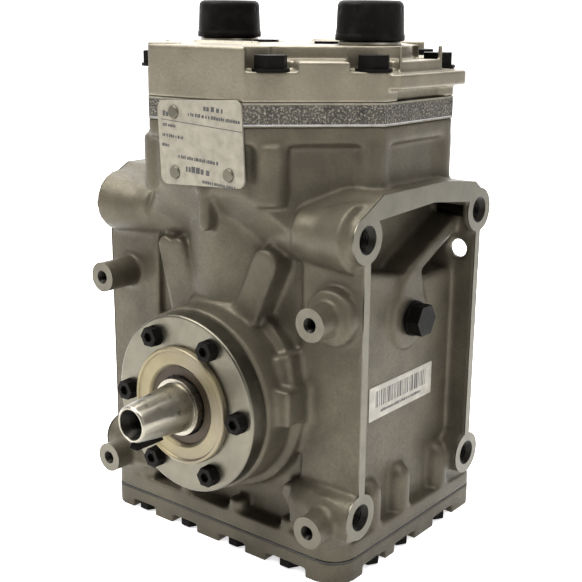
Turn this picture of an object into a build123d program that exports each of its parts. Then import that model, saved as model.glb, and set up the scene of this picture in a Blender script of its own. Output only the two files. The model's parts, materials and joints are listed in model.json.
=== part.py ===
from build123d import *
import math
import os

# Two-cylinder reciprocating refrigerant compressor, built as on the bench.
# Millimetres, +Z up, shaft nose towards -Y, origin on the base's underside below the middle
# of the cylinder block.

os.makedirs("parts", exist_ok=True)

# ---------------------------------------------------------------- driving dimensions
# Base and crankcase
BASE_X = 137.0
BASE_Y = 112.0
BASE_MID_Y = 2.0
BASE_CORNER_R = 4.0
BASE_BIG_CORNER_R = 12.0
BASE_PLATE_T = 9.9
GASKET_T = 0.6
CASE_Z = BASE_PLATE_T + GASKET_T
CASE_HALF_X = 62.0
CASE_HALF_Y = 44.5
CASE_WALL = 7.0
CASE_FLANGE_T = 7.5

# Crank train
SHAFT_Z = 74.3
BORE_R = 23.8
STROKE = 47.4
THROW = STROKE / 2
CYLINDER_Y = 26.5
LINER_R = 26.0
LINER_BOTTOM_Z = 117.0
LEDGE_RELIEF = 0.8
BARREL_WALL = 4.4
DECK_Z = 194.1
ROD_LENGTH = 77.0
CROWN_HEIGHT = 18.5
JOURNAL_R = 12.5
CRANKPIN_R = 11.0
WRIST_PIN_R = 7.0
RUN_CLEARANCE = 0.03
FIT_GAP = 0.02

# Octagonal cylinder block, valve plate and head
OCTAGON = 66.5
OCTAGON_CUT = 40.0
SHOULDER_Z = 166.0
LIP_Z = 186.5
BLOCK_INSET = 3.0
VALVE_PLATE_T = 7.6
REED_T = 0.4
HEAD_GASKET_T = 0.8
REED_Z = DECK_Z + GASKET_T
PLATE_Z = REED_Z + REED_T
PLATE_TOP = PLATE_Z + VALVE_PLATE_T
HEAD_Z = PLATE_TOP + HEAD_GASKET_T
HEAD_SEAT_Z = 215.5
HEAD_TOP = 225.0
HEAD_BOLT_XY = [(31.0, 55.2), (59.1, 24.5)]
MID_BOLT_X = 17.5
MID_SEAT_Z = 219.5
MID_RECESS_R = 8.0
HEAD_BOLT_R = 3.1

# Ports
PORT_X = 40.0
PORT_R = 7.0
NECK_R = 11.0
NECK_TOP = 240.0
COLLAR_R = 13.5
COLLAR_T = 1.4
CAP_R = 14.8
CAP_TOP = 243.3

# Front: seal plate, nose
PLATE_FACE_Y = 76.1
PLATE_BACK_Y = 67.6
PLATE_R = 39.4
PLATE_SCREW_R = 32.3
NOSE_Y = 106.8
NOSE_R = 8.0
TAPER_R = 10.9
TAPER_Y = 80.5
HUB_R = 41.0
HUB_FOOT = 4.0
HUB_FOOT_T = 9.0
LUG_X = 41.0
LUG_Z = 78.4
LUG_W = 12.0
LUG_H = 16.0
LUG_FACE_Y = 62.5
LUG_WEB = [(35.0, 78.4), (46.0, 78.4), (42.0, 100.4), (32.0, 97.4)]
LUG_WEB_Y = 56.5
BEARING_R = 26.0
BEARING_W = 15.0
BEARING_Y = 55.0

# Mounting interfaces
SIDE_FACE_X = 73.6
SIDE_SPACING_Y = 88.9
SIDE_SPACING_Z = 119.0
SIDE_FRONT_Y = -46.5
SIDE_LOW_Z = 33.0
SIDE_HOLE_R = 4.1
SIDE_TAP_DEPTH = 20.0
LEFT_PATTERN_SHIFT = 1.0
FRONT_BOSS_X = 60.4
FRONT_BOSS_DZ = 44.85
FRONT_BOSS_Y = 66.2
FRONT_BOSS_R = 7.0
FRONT_HOLE_R = 2.6

# Posts over the base screws
SCREW_POST_X = 62.0
SCREW_POST_R = 6.5
SCREW_POST_TOP = 39.5
END_POST_R = 4.4
END_POST_H = 13.0

# Rear cover
REAR_FACE_Y = 57.0
REAR_BORE_R = 38.5
REAR_FLANGE_R = 50.0
REAR_SCREW_R = 44.5
WEB_WELL_R = 38.5
WEB_WELL_DEPTH = 8.0

# Service fittings
PLUG_Y = 2.5
PLUG_Z = 108.0
PLUG_HEX = 13.0

# Data plate, tilted a little on the front of the block
DATA_PLATE_W = 46.8
DATA_PLATE_H = 35.0
DATA_PLATE_T = 0.8
DATA_PLATE_TILT = 3.0
DATA_PLATE_CENTRE = (3.6, 186.0)
RIVET_R = 1.5
RIVET_DEPTH = 6.0
RIVETS = [(-15, -12.4), (15, -12.4), (-14, 12.6)]

# Derived positions
SIDE_REAR_Y = SIDE_FRONT_Y + SIDE_SPACING_Y
SIDE_HIGH_Z = SIDE_LOW_Z + SIDE_SPACING_Z
SIDE_MIDDLE_Z = (SIDE_LOW_Z + SIDE_HIGH_Z) / 2
SHAFT_AXIS = Axis((0, 0, SHAFT_Z), (0, 1, 0))
FRONT_BOSSES = [(x, SHAFT_Z + s * FRONT_BOSS_DZ) for x in (-FRONT_BOSS_X, FRONT_BOSS_X) for s in (-1, 1)]
OUTER_BOLTS = [(sx * x, sy * y) for x, y in HEAD_BOLT_XY for sx in (-1, 1) for sy in (-1, 1)]
ALL_HEAD_BOLTS = OUTER_BOLTS + [(-MID_BOLT_X, 0), (MID_BOLT_X, 0)]
END_SCREWS = [(x, y) for x in (-50.0, -22.0, 8.3, 38.6) for y in (-49.5, 53.5)]
SIDE_SCREWS = [(side * 64.0, y) for y in (-25.0, -1.5, 31.5) for side in (-1, 1)]
BASE_SCREWS = END_SCREWS + SIDE_SCREWS
THROWS = [(1, -CYLINDER_Y, THROW), (2, CYLINDER_Y, -THROW)]


def octagon_points(half, cut):
    """Corners of a square of half-width half with its corners cut back by cut."""
    flat = half - cut
    corners = [(flat, -half), (half, -flat), (half, flat), (flat, half)]
    return corners + [(-x, -y) for x, y in corners]


tilt = math.radians(DATA_PLATE_TILT)
data_plate_plane = Plane(origin=(DATA_PLATE_CENTRE[0], -OCTAGON - 0.05, DATA_PLATE_CENTRE[1]),
                         x_dir=(math.cos(tilt), 0, math.sin(tilt)), z_dir=(0, -1, 0))


def front_plane(y):
    """Plane at a distance y in front of the origin, drawn with X across and Z up."""
    return Plane.XZ.offset(y)


def side_plane(side, x):
    """Plane at side * x whose normal points outwards, drawn with Y across and Z up."""
    return Plane(origin=(side * x, 0, 0), x_dir=(0, side, 0), z_dir=(side, 0, 0))


def side_holes(side):
    """Y and Z of the four mounting holes on one side."""
    shift = LEFT_PATTERN_SHIFT if side < 0 else 0
    return [(y + shift, z) for y in (SIDE_FRONT_Y, SIDE_REAR_Y) for z in (SIDE_LOW_Z, SIDE_HIGH_Z)]


# Outline shared by the base plate, its gasket and the crankcase flange
with BuildSketch() as base_outline:
    with Locations((0, BASE_MID_Y)):
        Rectangle(BASE_X, BASE_Y)
    fillet(base_outline.vertices().group_by(Axis.Y)[0].sort_by(Axis.X)[-1], BASE_BIG_CORNER_R)
    fillet(base_outline.vertices().filter_by(lambda v: v.X < 0 or v.Y > 0), BASE_CORNER_R)

# ================================================================ crankcase casting
REACH = 2.0
CASE_CORNER_R = 6.0
CASE_TOP_Z = 140.0
FLARE_Z = 138.0
FLARE_CORNER = 6.0
BOLT_POST_R = 7.4
BARREL_FOOT_Z = 108.0
BOSS_ROOT_R = FRONT_BOSS_R + 5
BOSS_ROOT_Y = CASE_HALF_Y + 10
MARK_R = 3.6
MARK_T = 0.8
# Each rib on the front wall: start, end, half width, height above the wall
FRONT_RIBS = [
    ((15, 108), (28, 137), 6.5, 12),
    ((-25, 108), (-32.5, 136), 4.5, 9),
    ((-16, 108), (-25, 136), 4.5, 9),
    ((1.5, 151), (1.5, 166), 2.8, 20),
    ((-12, 112), (12, 112), 4.0, 13),
    ((-42, 30), (-52, 18), 5.0, 8),
    ((40, 36), (52, 18), 5.0, 8),
]
EJECTOR_MARKS = [(44, 131), (-54, 129), (57, 51.5)]
SIDE_BOSS_R = 10.0
SIDE_DEPTH = SIDE_FACE_X - CASE_HALF_X + 20
SIDE_WEB_W = 4.0
SIDE_WEB_H = 124.0
TOP_RIM = [(-44, 158.5), (3, 160.5), (40, 156), (46, 160), (38, 165.5), (13, 168.5), (-36, 168.5), (-52, 160)]
LOW_GUSSET = [(-52, 40), (-56, 25), (-46, 23), (-37, 30)]
SIDE_BARRELS = [(SIDE_FRONT_Y + 0.5, 14.5, 6), (SIDE_REAR_Y - 0.5, 12.5, -6)]
BARREL_ROOT_X = 18.0
BARREL_TAPER = 6.0
SIDE_POCKET = [(-30, 134), (-30, 157), (3, 159.5), (36, 156), (39.5, 152), (39.5, 124), (18, 124)]
POCKET_DEPTH = 12.0
STRUT_ENDS = ((23, 137.5), (44, 147.5))
STRUT_W = 7.0
PLUG_BOSS_R = 14.5
PLUG_HUMP_R = 10.0
PLUG_BOSS_T = 6.5
CHAMBER_TOP_Z = 112.0
CHAMBER_NECK_X = 64.0
CHAMBER_CORNER_R = 5.0
SEAL_BORE_R = 22.0
SCREW_TAP_R = 2.6
SCREW_TAP_DEPTH = 11.0
HEAD_TAP_DEPTH = 22.0
REAR_TAP_DEPTH = 9.0
FRONT_TAP_DEPTH = 18.0
PLUG_TAP_R = 4.6
WINDOW_X = 64.4
WINDOW_Z = 133.0
WINDOW_R = 4.2


def flare_points():
    """Outline of the box with its corners cut, in the order that the octagon's corners follow."""
    x, y, cut = CASE_HALF_X, CASE_HALF_Y, FLARE_CORNER
    half = [(x - cut, -y), (x, -y + cut), (x, y - cut), (x - cut, y)]
    return half + [(-x, -y) for x, y in half]


def mirrored(side, points):
    """Points of the right-hand side view as the view of the given side draws them."""
    return [(side * y, z) for y, z in points]


with BuildPart() as crankcase:
    # Bottom flange and the box of the crankcase
    with BuildSketch(Plane.XY.offset(CASE_Z)):
        add(base_outline.sketch)
    extrude(amount=CASE_FLANGE_T)
    with BuildSketch(Plane.XY.offset(CASE_Z)):
        RectangleRounded(2 * CASE_HALF_X, 2 * CASE_HALF_Y, CASE_CORNER_R)
    extrude(amount=CASE_TOP_Z - CASE_Z)
    # Shoulder that flares from the box to the octagonal block
    with BuildSketch(Plane.XY.offset(FLARE_Z)):
        Polygon(*flare_points(), align=None)
    with BuildSketch(Plane.XY.offset(SHOULDER_Z)):
        Polygon(*octagon_points(OCTAGON - BLOCK_INSET, OCTAGON_CUT - 1), align=None)
    loft()
    # Block: inset lower part, posts round the head bolts, full-size lip under the valve plate
    with BuildSketch(Plane.XY.offset(SHOULDER_Z)):
        Polygon(*octagon_points(OCTAGON - BLOCK_INSET, OCTAGON_CUT - 1), align=None)
    extrude(amount=LIP_Z - SHOULDER_Z)
    with BuildSketch(Plane.XY.offset(LIP_Z)):
        Polygon(*octagon_points(OCTAGON, OCTAGON_CUT), align=None)
    extrude(amount=DECK_Z - LIP_Z)
    with BuildSketch(Plane.XY.offset(SHOULDER_Z - 2 * REACH)):
        with Locations(*OUTER_BOLTS):
            Circle(BOLT_POST_R)
    extrude(amount=LIP_Z - SHOULDER_Z + 2 * REACH)
    # Cylinder barrels below the block
    with BuildSketch(Plane.XY.offset(BARREL_FOOT_Z)):
        with Locations((0, -CYLINDER_Y), (0, CYLINDER_Y)):
            Circle(LINER_R + BARREL_WALL)
    extrude(amount=SHOULDER_Z - BARREL_FOOT_Z)
    # Front hub that carries the seal plate, with a wider foot on the wall
    with BuildSketch(front_plane(CASE_HALF_Y - REACH)):
        with Locations((0, SHAFT_Z)):
            Circle(HUB_R)
    extrude(amount=PLATE_BACK_Y - CASE_HALF_Y + REACH)
    with BuildSketch(front_plane(CASE_HALF_Y - REACH)):
        with Locations((0, SHAFT_Z)):
            Circle(HUB_R + HUB_FOOT)
    extrude(amount=HUB_FOOT_T)
    # A block-shaped lug on each side of the hub, and the web that rises from it
    for side in (-1, 1):
        with BuildSketch(front_plane(CASE_HALF_Y - REACH)):
            with Locations((side * LUG_X, LUG_Z)):
                Rectangle(LUG_W, LUG_H)
        extrude(amount=LUG_FACE_Y - CASE_HALF_Y + REACH)
        with BuildSketch(front_plane(CASE_HALF_Y - REACH)):
            Polygon(*[(side * x, z) for x, z in LUG_WEB], align=None)
        extrude(amount=LUG_WEB_Y - CASE_HALF_Y + REACH)
    for rib_start, rib_end, rib_half, rib_height in FRONT_RIBS:
        rib_middle = ((rib_start[0] + rib_end[0]) / 2, (rib_start[1] + rib_end[1]) / 2)
        with BuildSketch(front_plane(CASE_HALF_Y - REACH)):
            SlotCenterPoint(rib_middle, rib_end, 2 * rib_half)
        extrude(amount=rib_height + REACH)
    # Front bosses, three of them with thicker roots
    with BuildSketch(front_plane(CASE_HALF_Y - REACH)):
        with Locations(*FRONT_BOSSES):
            Circle(FRONT_BOSS_R)
    extrude(amount=FRONT_BOSS_Y - CASE_HALF_Y + REACH)
    with BuildSketch(front_plane(CASE_HALF_Y - REACH)):
        with Locations(FRONT_BOSSES[0], FRONT_BOSSES[2], FRONT_BOSSES[3]):
            Circle(BOSS_ROOT_R)
    extrude(amount=BOSS_ROOT_Y - CASE_HALF_Y + REACH)
    with BuildSketch(front_plane(CASE_HALF_Y)):
        with Locations(*EJECTOR_MARKS):
            Circle(MARK_R)
    extrude(amount=MARK_T)
    # Side frames: two upright webs, a top rim, corner bosses, and barrels behind the upper bosses
    for side in (-1, 1):
        with BuildSketch(side_plane(side, SIDE_FACE_X - SIDE_DEPTH)):
            with Locations(*mirrored(side, side_holes(side))):
                Circle(SIDE_BOSS_R)
            with Locations((side * (SIDE_FRONT_Y + 0.6), SIDE_MIDDLE_Z), (side * SIDE_REAR_Y, SIDE_MIDDLE_Z)):
                Rectangle(SIDE_WEB_W, SIDE_WEB_H)
            Polygon(*mirrored(side, TOP_RIM), align=None)
            Polygon(*mirrored(side, LOW_GUSSET), align=None)
        extrude(amount=SIDE_DEPTH)
        for barrel_y, barrel_r, barrel_lean in SIDE_BARRELS:
            with BuildSketch(side_plane(side, BARREL_ROOT_X)):
                with Locations((side * (barrel_y + barrel_lean), SIDE_HIGH_Z - 4)):
                    Circle(barrel_r - BARREL_TAPER)
            with BuildSketch(side_plane(side, SIDE_FACE_X - 4)):
                with Locations((side * barrel_y, SIDE_HIGH_Z)):
                    Circle(barrel_r)
            loft()
    # Upper side pockets, the diagonal strut that crosses each of them, and the oil plug's boss
    for side in (-1, 1):
        with BuildSketch(side_plane(side, CASE_HALF_X - POCKET_DEPTH)):
            Polygon(*mirrored(side, SIDE_POCKET), align=None)
        extrude(amount=POCKET_DEPTH + 8, mode=Mode.SUBTRACT)
        with BuildSketch(side_plane(side, CASE_HALF_X - POCKET_DEPTH - REACH)):
            SlotCenterPoint(*mirrored(side, STRUT_ENDS), STRUT_W)
        extrude(amount=POCKET_DEPTH + 2 * REACH)
        with BuildSketch(side_plane(side, CASE_HALF_X - 4)):
            with Locations((side * PLUG_Y, PLUG_Z)):
                Circle(PLUG_BOSS_R)
            with Locations((side * (PLUG_Y + 1), PLUG_Z + 12)):
                Circle(PLUG_HUMP_R)
        extrude(amount=PLUG_BOSS_T)
    # Domed half-round bosses over the side screws, and low ones over the end screws
    screw_posts = [(math.copysign(SCREW_POST_X, x), y) for x, y in SIDE_SCREWS]
    with BuildSketch(Plane.XY.offset(CASE_Z)):
        with Locations(*screw_posts):
            Circle(SCREW_POST_R)
    extrude(amount=SCREW_POST_TOP - SCREW_POST_R - CASE_Z)
    with Locations(*[(x, y, SCREW_POST_TOP - SCREW_POST_R) for x, y in screw_posts]):
        Sphere(SCREW_POST_R)
    with BuildSketch(Plane.XY.offset(CASE_Z)):
        with Locations(*END_SCREWS):
            Circle(END_POST_R)
    extrude(amount=END_POST_H)
    # Rear hub that carries the bearing cover
    with BuildSketch(front_plane(-(CASE_HALF_Y - REACH))):
        with Locations((0, SHAFT_Z)):
            Circle(REAR_FLANGE_R)
    extrude(amount=-(REAR_FACE_Y - CASE_HALF_Y + REACH))

    # ---- inside
    # Crank chamber, narrower above, and the round well of the front and rear crank webs
    with BuildSketch(Plane.XY.offset(CASE_Z)):
        RectangleRounded(2 * (CASE_HALF_X - CASE_WALL), 2 * (CASE_HALF_Y - CASE_WALL), CHAMBER_CORNER_R)
    extrude(amount=CHAMBER_TOP_Z - CASE_Z, mode=Mode.SUBTRACT)
    with BuildSketch(Plane.XY.offset(CHAMBER_TOP_Z - 1)):
        RectangleRounded(CHAMBER_NECK_X, 2 * (CASE_HALF_Y - CASE_WALL), CHAMBER_CORNER_R)
    extrude(amount=LINER_BOTTOM_Z - CHAMBER_TOP_Z, mode=Mode.SUBTRACT)
    with BuildSketch(front_plane(CASE_HALF_Y - CASE_WALL - 1)):
        with Locations((0, SHAFT_Z)):
            Circle(WEB_WELL_R)
    extrude(amount=WEB_WELL_DEPTH, mode=Mode.SUBTRACT)
    with BuildSketch(front_plane(CASE_HALF_Y - 1)):
        with Locations((0, SHAFT_Z)):
            Circle(BEARING_R + FIT_GAP)
    extrude(amount=BEARING_Y + BEARING_W / 2 - CASE_HALF_Y + 1, mode=Mode.SUBTRACT)
    with BuildSketch(front_plane(BEARING_Y)):
        with Locations((0, SHAFT_Z)):
            Circle(SEAL_BORE_R)
    extrude(amount=PLATE_BACK_Y - BEARING_Y + 1, mode=Mode.SUBTRACT)
    with BuildSketch(front_plane(-REAR_FACE_Y)):
        with Locations((0, SHAFT_Z)):
            Circle(REAR_BORE_R)
    extrude(amount=REAR_FACE_Y - CASE_HALF_Y + CASE_WALL + 1, mode=Mode.SUBTRACT)
    # Bores for the liners, over a ledge that stays clear of the swinging rods
    with BuildSketch(Plane.XY.offset(LINER_BOTTOM_Z)):
        with Locations((0, -CYLINDER_Y), (0, CYLINDER_Y)):
            Circle(LINER_R + FIT_GAP)
    extrude(amount=DECK_Z - LINER_BOTTOM_Z + 1, mode=Mode.SUBTRACT)
    with BuildSketch(Plane.XY.offset(LINER_BOTTOM_Z - REACH)):
        with Locations((0, -CYLINDER_Y), (0, CYLINDER_Y)):
            Circle(BORE_R + LEDGE_RELIEF)
    extrude(amount=REACH + 1, mode=Mode.SUBTRACT)
    # Tapped holes: head bolts, base screws, seal plate, rear cover, mounts, oil plugs
    with BuildSketch(Plane.XY.offset(DECK_Z - HEAD_TAP_DEPTH)):
        with Locations(*ALL_HEAD_BOLTS):
            Circle(HEAD_BOLT_R + 0.1)
    extrude(amount=HEAD_TAP_DEPTH + 1, mode=Mode.SUBTRACT)
    with BuildSketch(Plane.XY.offset(CASE_Z - 1)):
        with Locations(*BASE_SCREWS):
            Circle(SCREW_TAP_R)
    extrude(amount=SCREW_TAP_DEPTH + 1, mode=Mode.SUBTRACT)
    with BuildSketch(front_plane(PLATE_BACK_Y - SCREW_TAP_DEPTH)):
        with Locations((0, SHAFT_Z)):
            with PolarLocations(PLATE_SCREW_R, 6):
                Circle(SCREW_TAP_R)
    extrude(amount=SCREW_TAP_DEPTH + 1, mode=Mode.SUBTRACT)
    with BuildSketch(front_plane(-REAR_FACE_Y)):
        with Locations((0, SHAFT_Z)):
            with PolarLocations(REAR_SCREW_R, 8, start_angle=22.5):
                Circle(SCREW_TAP_R)
    extrude(amount=REAR_TAP_DEPTH, mode=Mode.SUBTRACT)
    with BuildSketch(front_plane(FRONT_BOSS_Y - FRONT_TAP_DEPTH)):
        with Locations(*FRONT_BOSSES):
            Circle(FRONT_HOLE_R)
    extrude(amount=FRONT_TAP_DEPTH + 1, mode=Mode.SUBTRACT)
    for side in (-1, 1):
        with BuildSketch(side_plane(side, SIDE_FACE_X - SIDE_TAP_DEPTH)):
            with Locations(*mirrored(side, side_holes(side))):
                Circle(SIDE_HOLE_R)
        extrude(amount=SIDE_TAP_DEPTH + 1, mode=Mode.SUBTRACT)
        with BuildSketch(side_plane(side, CASE_HALF_X - CASE_WALL - 3)):
            with Locations((side * PLUG_Y, PLUG_Z)):
                Circle(PLUG_TAP_R)
        extrude(amount=2 * CASE_WALL + 6, mode=Mode.SUBTRACT)
        # Window through the rear web, beside the pocket
        with Locations(Location((side * WINDOW_X, SIDE_REAR_Y, WINDOW_Z), (90, 0, 0))):
            Cylinder(WINDOW_R, 2 * SIDE_WEB_W, mode=Mode.SUBTRACT)
    # Holes for the rivets of the data plate
    with BuildSketch(data_plate_plane.offset(-RIVET_DEPTH)):
        with Locations(*RIVETS):
            Circle(RIVET_R + 0.05)
    extrude(amount=RIVET_DEPTH, mode=Mode.SUBTRACT)
crankcase.part.label = "crankcase"
export_step(crankcase.part, "parts/crankcase.step")

# ================================================================ cylinder liners
with BuildPart() as cylinder_liners:
    with BuildSketch(Plane.XY.offset(LINER_BOTTOM_Z)):
        with Locations((0, -CYLINDER_Y), (0, CYLINDER_Y)):
            Circle(LINER_R)
            Circle(BORE_R, mode=Mode.SUBTRACT)
    extrude(amount=DECK_Z - LINER_BOTTOM_Z)
cylinder_liners.part.label = "cylinder_liners"
export_step(cylinder_liners.part, "parts/cylinder_liners.step")

# ================================================================ base
CLEAT_H = 4.2
SCREW_HEAD_H = 3.4
SCREW_HEAD_FLATS = 4.4
SKIRT_W = 7.0
FOOT_X = 82.0
FOOT_Y = 56.0
SUMP_Z = 7.2
SUMP_CORNER_R = 5.0
NOTCH_CUT = 2 * SKIRT_W + 2
BASE_SCREW_R = 2.5
BASE_CLEAR_R = 2.8
BASE_SCREW_REACH = 16.0
END_NOTCHES = [(-57.0, -42.1), (-30.2, -14.4), (-0.2, 15.6), (27.7, 50.3)]
SIDE_NOTCHES = [(-35.5, -18.2), (-10.3, 6.3), (23.1, 40.4)]

with BuildPart() as base_plate:
    with BuildSketch(Plane.XY):
        add(base_outline.sketch)
    extrude(amount=BASE_PLATE_T)
    # Shallow sump inside
    with BuildSketch(Plane.XY.offset(SUMP_Z)):
        RectangleRounded(2 * (CASE_HALF_X - CASE_WALL), 2 * (CASE_HALF_Y - CASE_WALL), SUMP_CORNER_R)
    extrude(amount=BASE_PLATE_T - SUMP_Z, mode=Mode.SUBTRACT)
    # Recess under the plate between the outer skirt and the middle foot
    with BuildSketch(Plane.XY):
        with Locations((0, BASE_MID_Y)):
            RectangleRounded(BASE_X - 2 * SKIRT_W, BASE_Y - 2 * SKIRT_W, BASE_CORNER_R)
        RectangleRounded(FOOT_X, FOOT_Y, BASE_CORNER_R, mode=Mode.SUBTRACT)
    extrude(amount=CLEAT_H, mode=Mode.SUBTRACT)
    # Notches that cut the skirt into cleats, each wide enough for a screw head
    with BuildSketch(Plane.XY):
        for notch_start, notch_end in END_NOTCHES:
            for end_y in (BASE_MID_Y - BASE_Y / 2, BASE_MID_Y + BASE_Y / 2):
                with Locations(((notch_start + notch_end) / 2, end_y)):
                    Rectangle(notch_end - notch_start, NOTCH_CUT)
        for notch_start, notch_end in SIDE_NOTCHES:
            for side in (-1, 1):
                with Locations((side * BASE_X / 2, (notch_start + notch_end) / 2)):
                    Rectangle(NOTCH_CUT, notch_end - notch_start)
    extrude(amount=CLEAT_H, mode=Mode.SUBTRACT)
    with BuildSketch(Plane.XY):
        with Locations(*BASE_SCREWS):
            Circle(BASE_CLEAR_R)
    extrude(amount=BASE_PLATE_T, mode=Mode.SUBTRACT)
base_plate.part.label = "base_plate"
export_step(base_plate.part, "parts/base_plate.step")

with BuildPart() as base_gasket:
    with BuildSketch(Plane.XY.offset(BASE_PLATE_T)):
        add(base_outline.sketch)
        RectangleRounded(2 * (CASE_HALF_X - CASE_WALL), 2 * (CASE_HALF_Y - CASE_WALL), SUMP_CORNER_R,
                         mode=Mode.SUBTRACT)
        with Locations(*BASE_SCREWS):
            Circle(BASE_CLEAR_R, mode=Mode.SUBTRACT)
    extrude(amount=GASKET_T)
base_gasket.part.label = "base_gasket"
export_step(base_gasket.part, "parts/base_gasket.step")

with BuildPart() as base_screws:
    with BuildSketch(Plane.XY.offset(CLEAT_H - SCREW_HEAD_H)):
        with Locations(*BASE_SCREWS):
            RegularPolygon(SCREW_HEAD_FLATS, 6, major_radius=False)
    extrude(amount=SCREW_HEAD_H)
    with BuildSketch(Plane.XY.offset(CLEAT_H)):
        with Locations(*BASE_SCREWS):
            Circle(BASE_SCREW_R)
    extrude(amount=BASE_SCREW_REACH)
base_screws.part.label = "base_screws"
export_step(base_screws.part, "parts/base_screws.step")

# ================================================================ front seal plate
PLATE_T = PLATE_FACE_Y - PLATE_BACK_Y
SHIELD_R = 26.0
SHIELD_BORE_R = 13.3
SEAT_R = 17.0
O_RING_R = 25.8
O_RING_WIRE_R = 0.95
O_RING_GROOVE_HALF = 1.5
O_RING_GROOVE_DEPTH = 2.0
PLATE_EDGE = 0.7
RELIEF_R = 21.0
RELIEF_DEPTH = 3.4
SEAT_DEPTH = 6.4
PLATE_SCREW_COUNT = 6
SCREW_SHANK_R = 2.5
SCREW_CLEAR_R = 2.9
SCREW_REACH = 10.0
WASHER_R = 4.6
WASHER_T = 1.0
PLATE_HEX = 3.9
PLATE_HEX_H = 3.4
SOCKET_HEX = 2.0
SOCKET_FLOOR = 2.4
SEAT_INSET = 3.0

with BuildPart() as seal_plate:
    with BuildSketch(front_plane(PLATE_BACK_Y)):
        with Locations((0, SHAFT_Z)):
            Circle(PLATE_R)
            Circle(SHIELD_BORE_R + 0.5, mode=Mode.SUBTRACT)
    extrude(amount=PLATE_T)
    front_circles = seal_plate.edges().filter_by(GeomType.CIRCLE).group_by(Axis.Y)[0]
    chamfer(front_circles.sort_by(SortBy.RADIUS)[-1], PLATE_EDGE)
    with BuildSketch(front_plane(PLATE_BACK_Y)):
        with Locations((0, SHAFT_Z)):
            Circle(RELIEF_R)
    extrude(amount=RELIEF_DEPTH, mode=Mode.SUBTRACT)
    with BuildSketch(front_plane(PLATE_BACK_Y)):
        with Locations((0, SHAFT_Z)):
            Circle(SEAT_R)
    extrude(amount=SEAT_DEPTH, mode=Mode.SUBTRACT)
    with BuildSketch(front_plane(PLATE_BACK_Y)):
        with Locations((0, SHAFT_Z)):
            Circle(O_RING_R + O_RING_GROOVE_HALF)
            Circle(O_RING_R - O_RING_GROOVE_HALF, mode=Mode.SUBTRACT)
    extrude(amount=O_RING_GROOVE_DEPTH, mode=Mode.SUBTRACT)
    with BuildSketch(front_plane(PLATE_BACK_Y)):
        with Locations((0, SHAFT_Z)):
            with PolarLocations(PLATE_SCREW_R, PLATE_SCREW_COUNT):
                Circle(SCREW_CLEAR_R)
    extrude(amount=PLATE_T, mode=Mode.SUBTRACT)
seal_plate.part.label = "seal_plate"
export_step(seal_plate.part, "parts/seal_plate.step")

with BuildPart() as seal_plate_screws:
    with BuildSketch(front_plane(PLATE_BACK_Y - SCREW_REACH)):
        with Locations((0, SHAFT_Z)):
            with PolarLocations(PLATE_SCREW_R, PLATE_SCREW_COUNT):
                Circle(SCREW_SHANK_R)
    extrude(amount=PLATE_T + SCREW_REACH)
    with BuildSketch(front_plane(PLATE_FACE_Y)):
        with Locations((0, SHAFT_Z)):
            with PolarLocations(PLATE_SCREW_R, PLATE_SCREW_COUNT):
                Circle(WASHER_R)
    extrude(amount=WASHER_T)
    with BuildSketch(front_plane(PLATE_FACE_Y + WASHER_T)):
        with Locations((0, SHAFT_Z)):
            with PolarLocations(PLATE_SCREW_R, PLATE_SCREW_COUNT):
                RegularPolygon(PLATE_HEX, 6, major_radius=False)
    extrude(amount=PLATE_HEX_H)
    with BuildSketch(front_plane(PLATE_FACE_Y + SOCKET_FLOOR)):
        with Locations((0, SHAFT_Z)):
            with PolarLocations(PLATE_SCREW_R, PLATE_SCREW_COUNT):
                RegularPolygon(SOCKET_HEX, 6, major_radius=False)
    extrude(amount=PLATE_HEX_H, mode=Mode.SUBTRACT)
seal_plate_screws.part.label = "seal_plate_screws"
export_step(seal_plate_screws.part, "parts/seal_plate_screws.step")

with BuildPart() as seal_plate_o_ring:
    with BuildSketch(Plane.YZ):
        with Locations((-PLATE_BACK_Y - O_RING_WIRE_R - RUN_CLEARANCE, SHAFT_Z + O_RING_R)):
            Circle(O_RING_WIRE_R)
    revolve(axis=SHAFT_AXIS)
seal_plate_o_ring.part.label = "seal_plate_o_ring"
export_step(seal_plate_o_ring.part, "parts/seal_plate_o_ring.step")

with BuildPart() as shaft_shield:
    with BuildSketch(Plane.YZ):
        with BuildLine():
            Polyline((-PLATE_FACE_Y, SHAFT_Z + SHIELD_BORE_R), (-PLATE_FACE_Y - 0.9, SHAFT_Z + SHIELD_BORE_R),
                     (-PLATE_FACE_Y - 0.9, SHAFT_Z + 17.0), (-PLATE_FACE_Y - 2.4, SHAFT_Z + 18.6),
                     (-PLATE_FACE_Y - 2.4, SHAFT_Z + 23.8), (-PLATE_FACE_Y - 3.2, SHAFT_Z + 24.4),
                     (-PLATE_FACE_Y - 3.2, SHAFT_Z + SHIELD_R - 0.6),
                     (-PLATE_FACE_Y - 2.6, SHAFT_Z + SHIELD_R),
                     (-PLATE_FACE_Y, SHAFT_Z + SHIELD_R), close=True)
        make_face()
    revolve(axis=SHAFT_AXIS)
shaft_shield.part.label = "shaft_shield"
export_step(shaft_shield.part, "parts/shaft_shield.step")

SEAT_FACE_Y = PLATE_BACK_Y + SEAT_INSET
with BuildPart() as seal_seat:
    with BuildSketch(front_plane(SEAT_FACE_Y)):
        with Locations((0, SHAFT_Z)):
            Circle(SEAT_R - FIT_GAP)
            Circle(SHIELD_BORE_R, mode=Mode.SUBTRACT)
    extrude(amount=SEAT_DEPTH - SEAT_INSET)
seal_seat.part.label = "seal_seat"
export_step(seal_seat.part, "parts/seal_seat.step")

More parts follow.
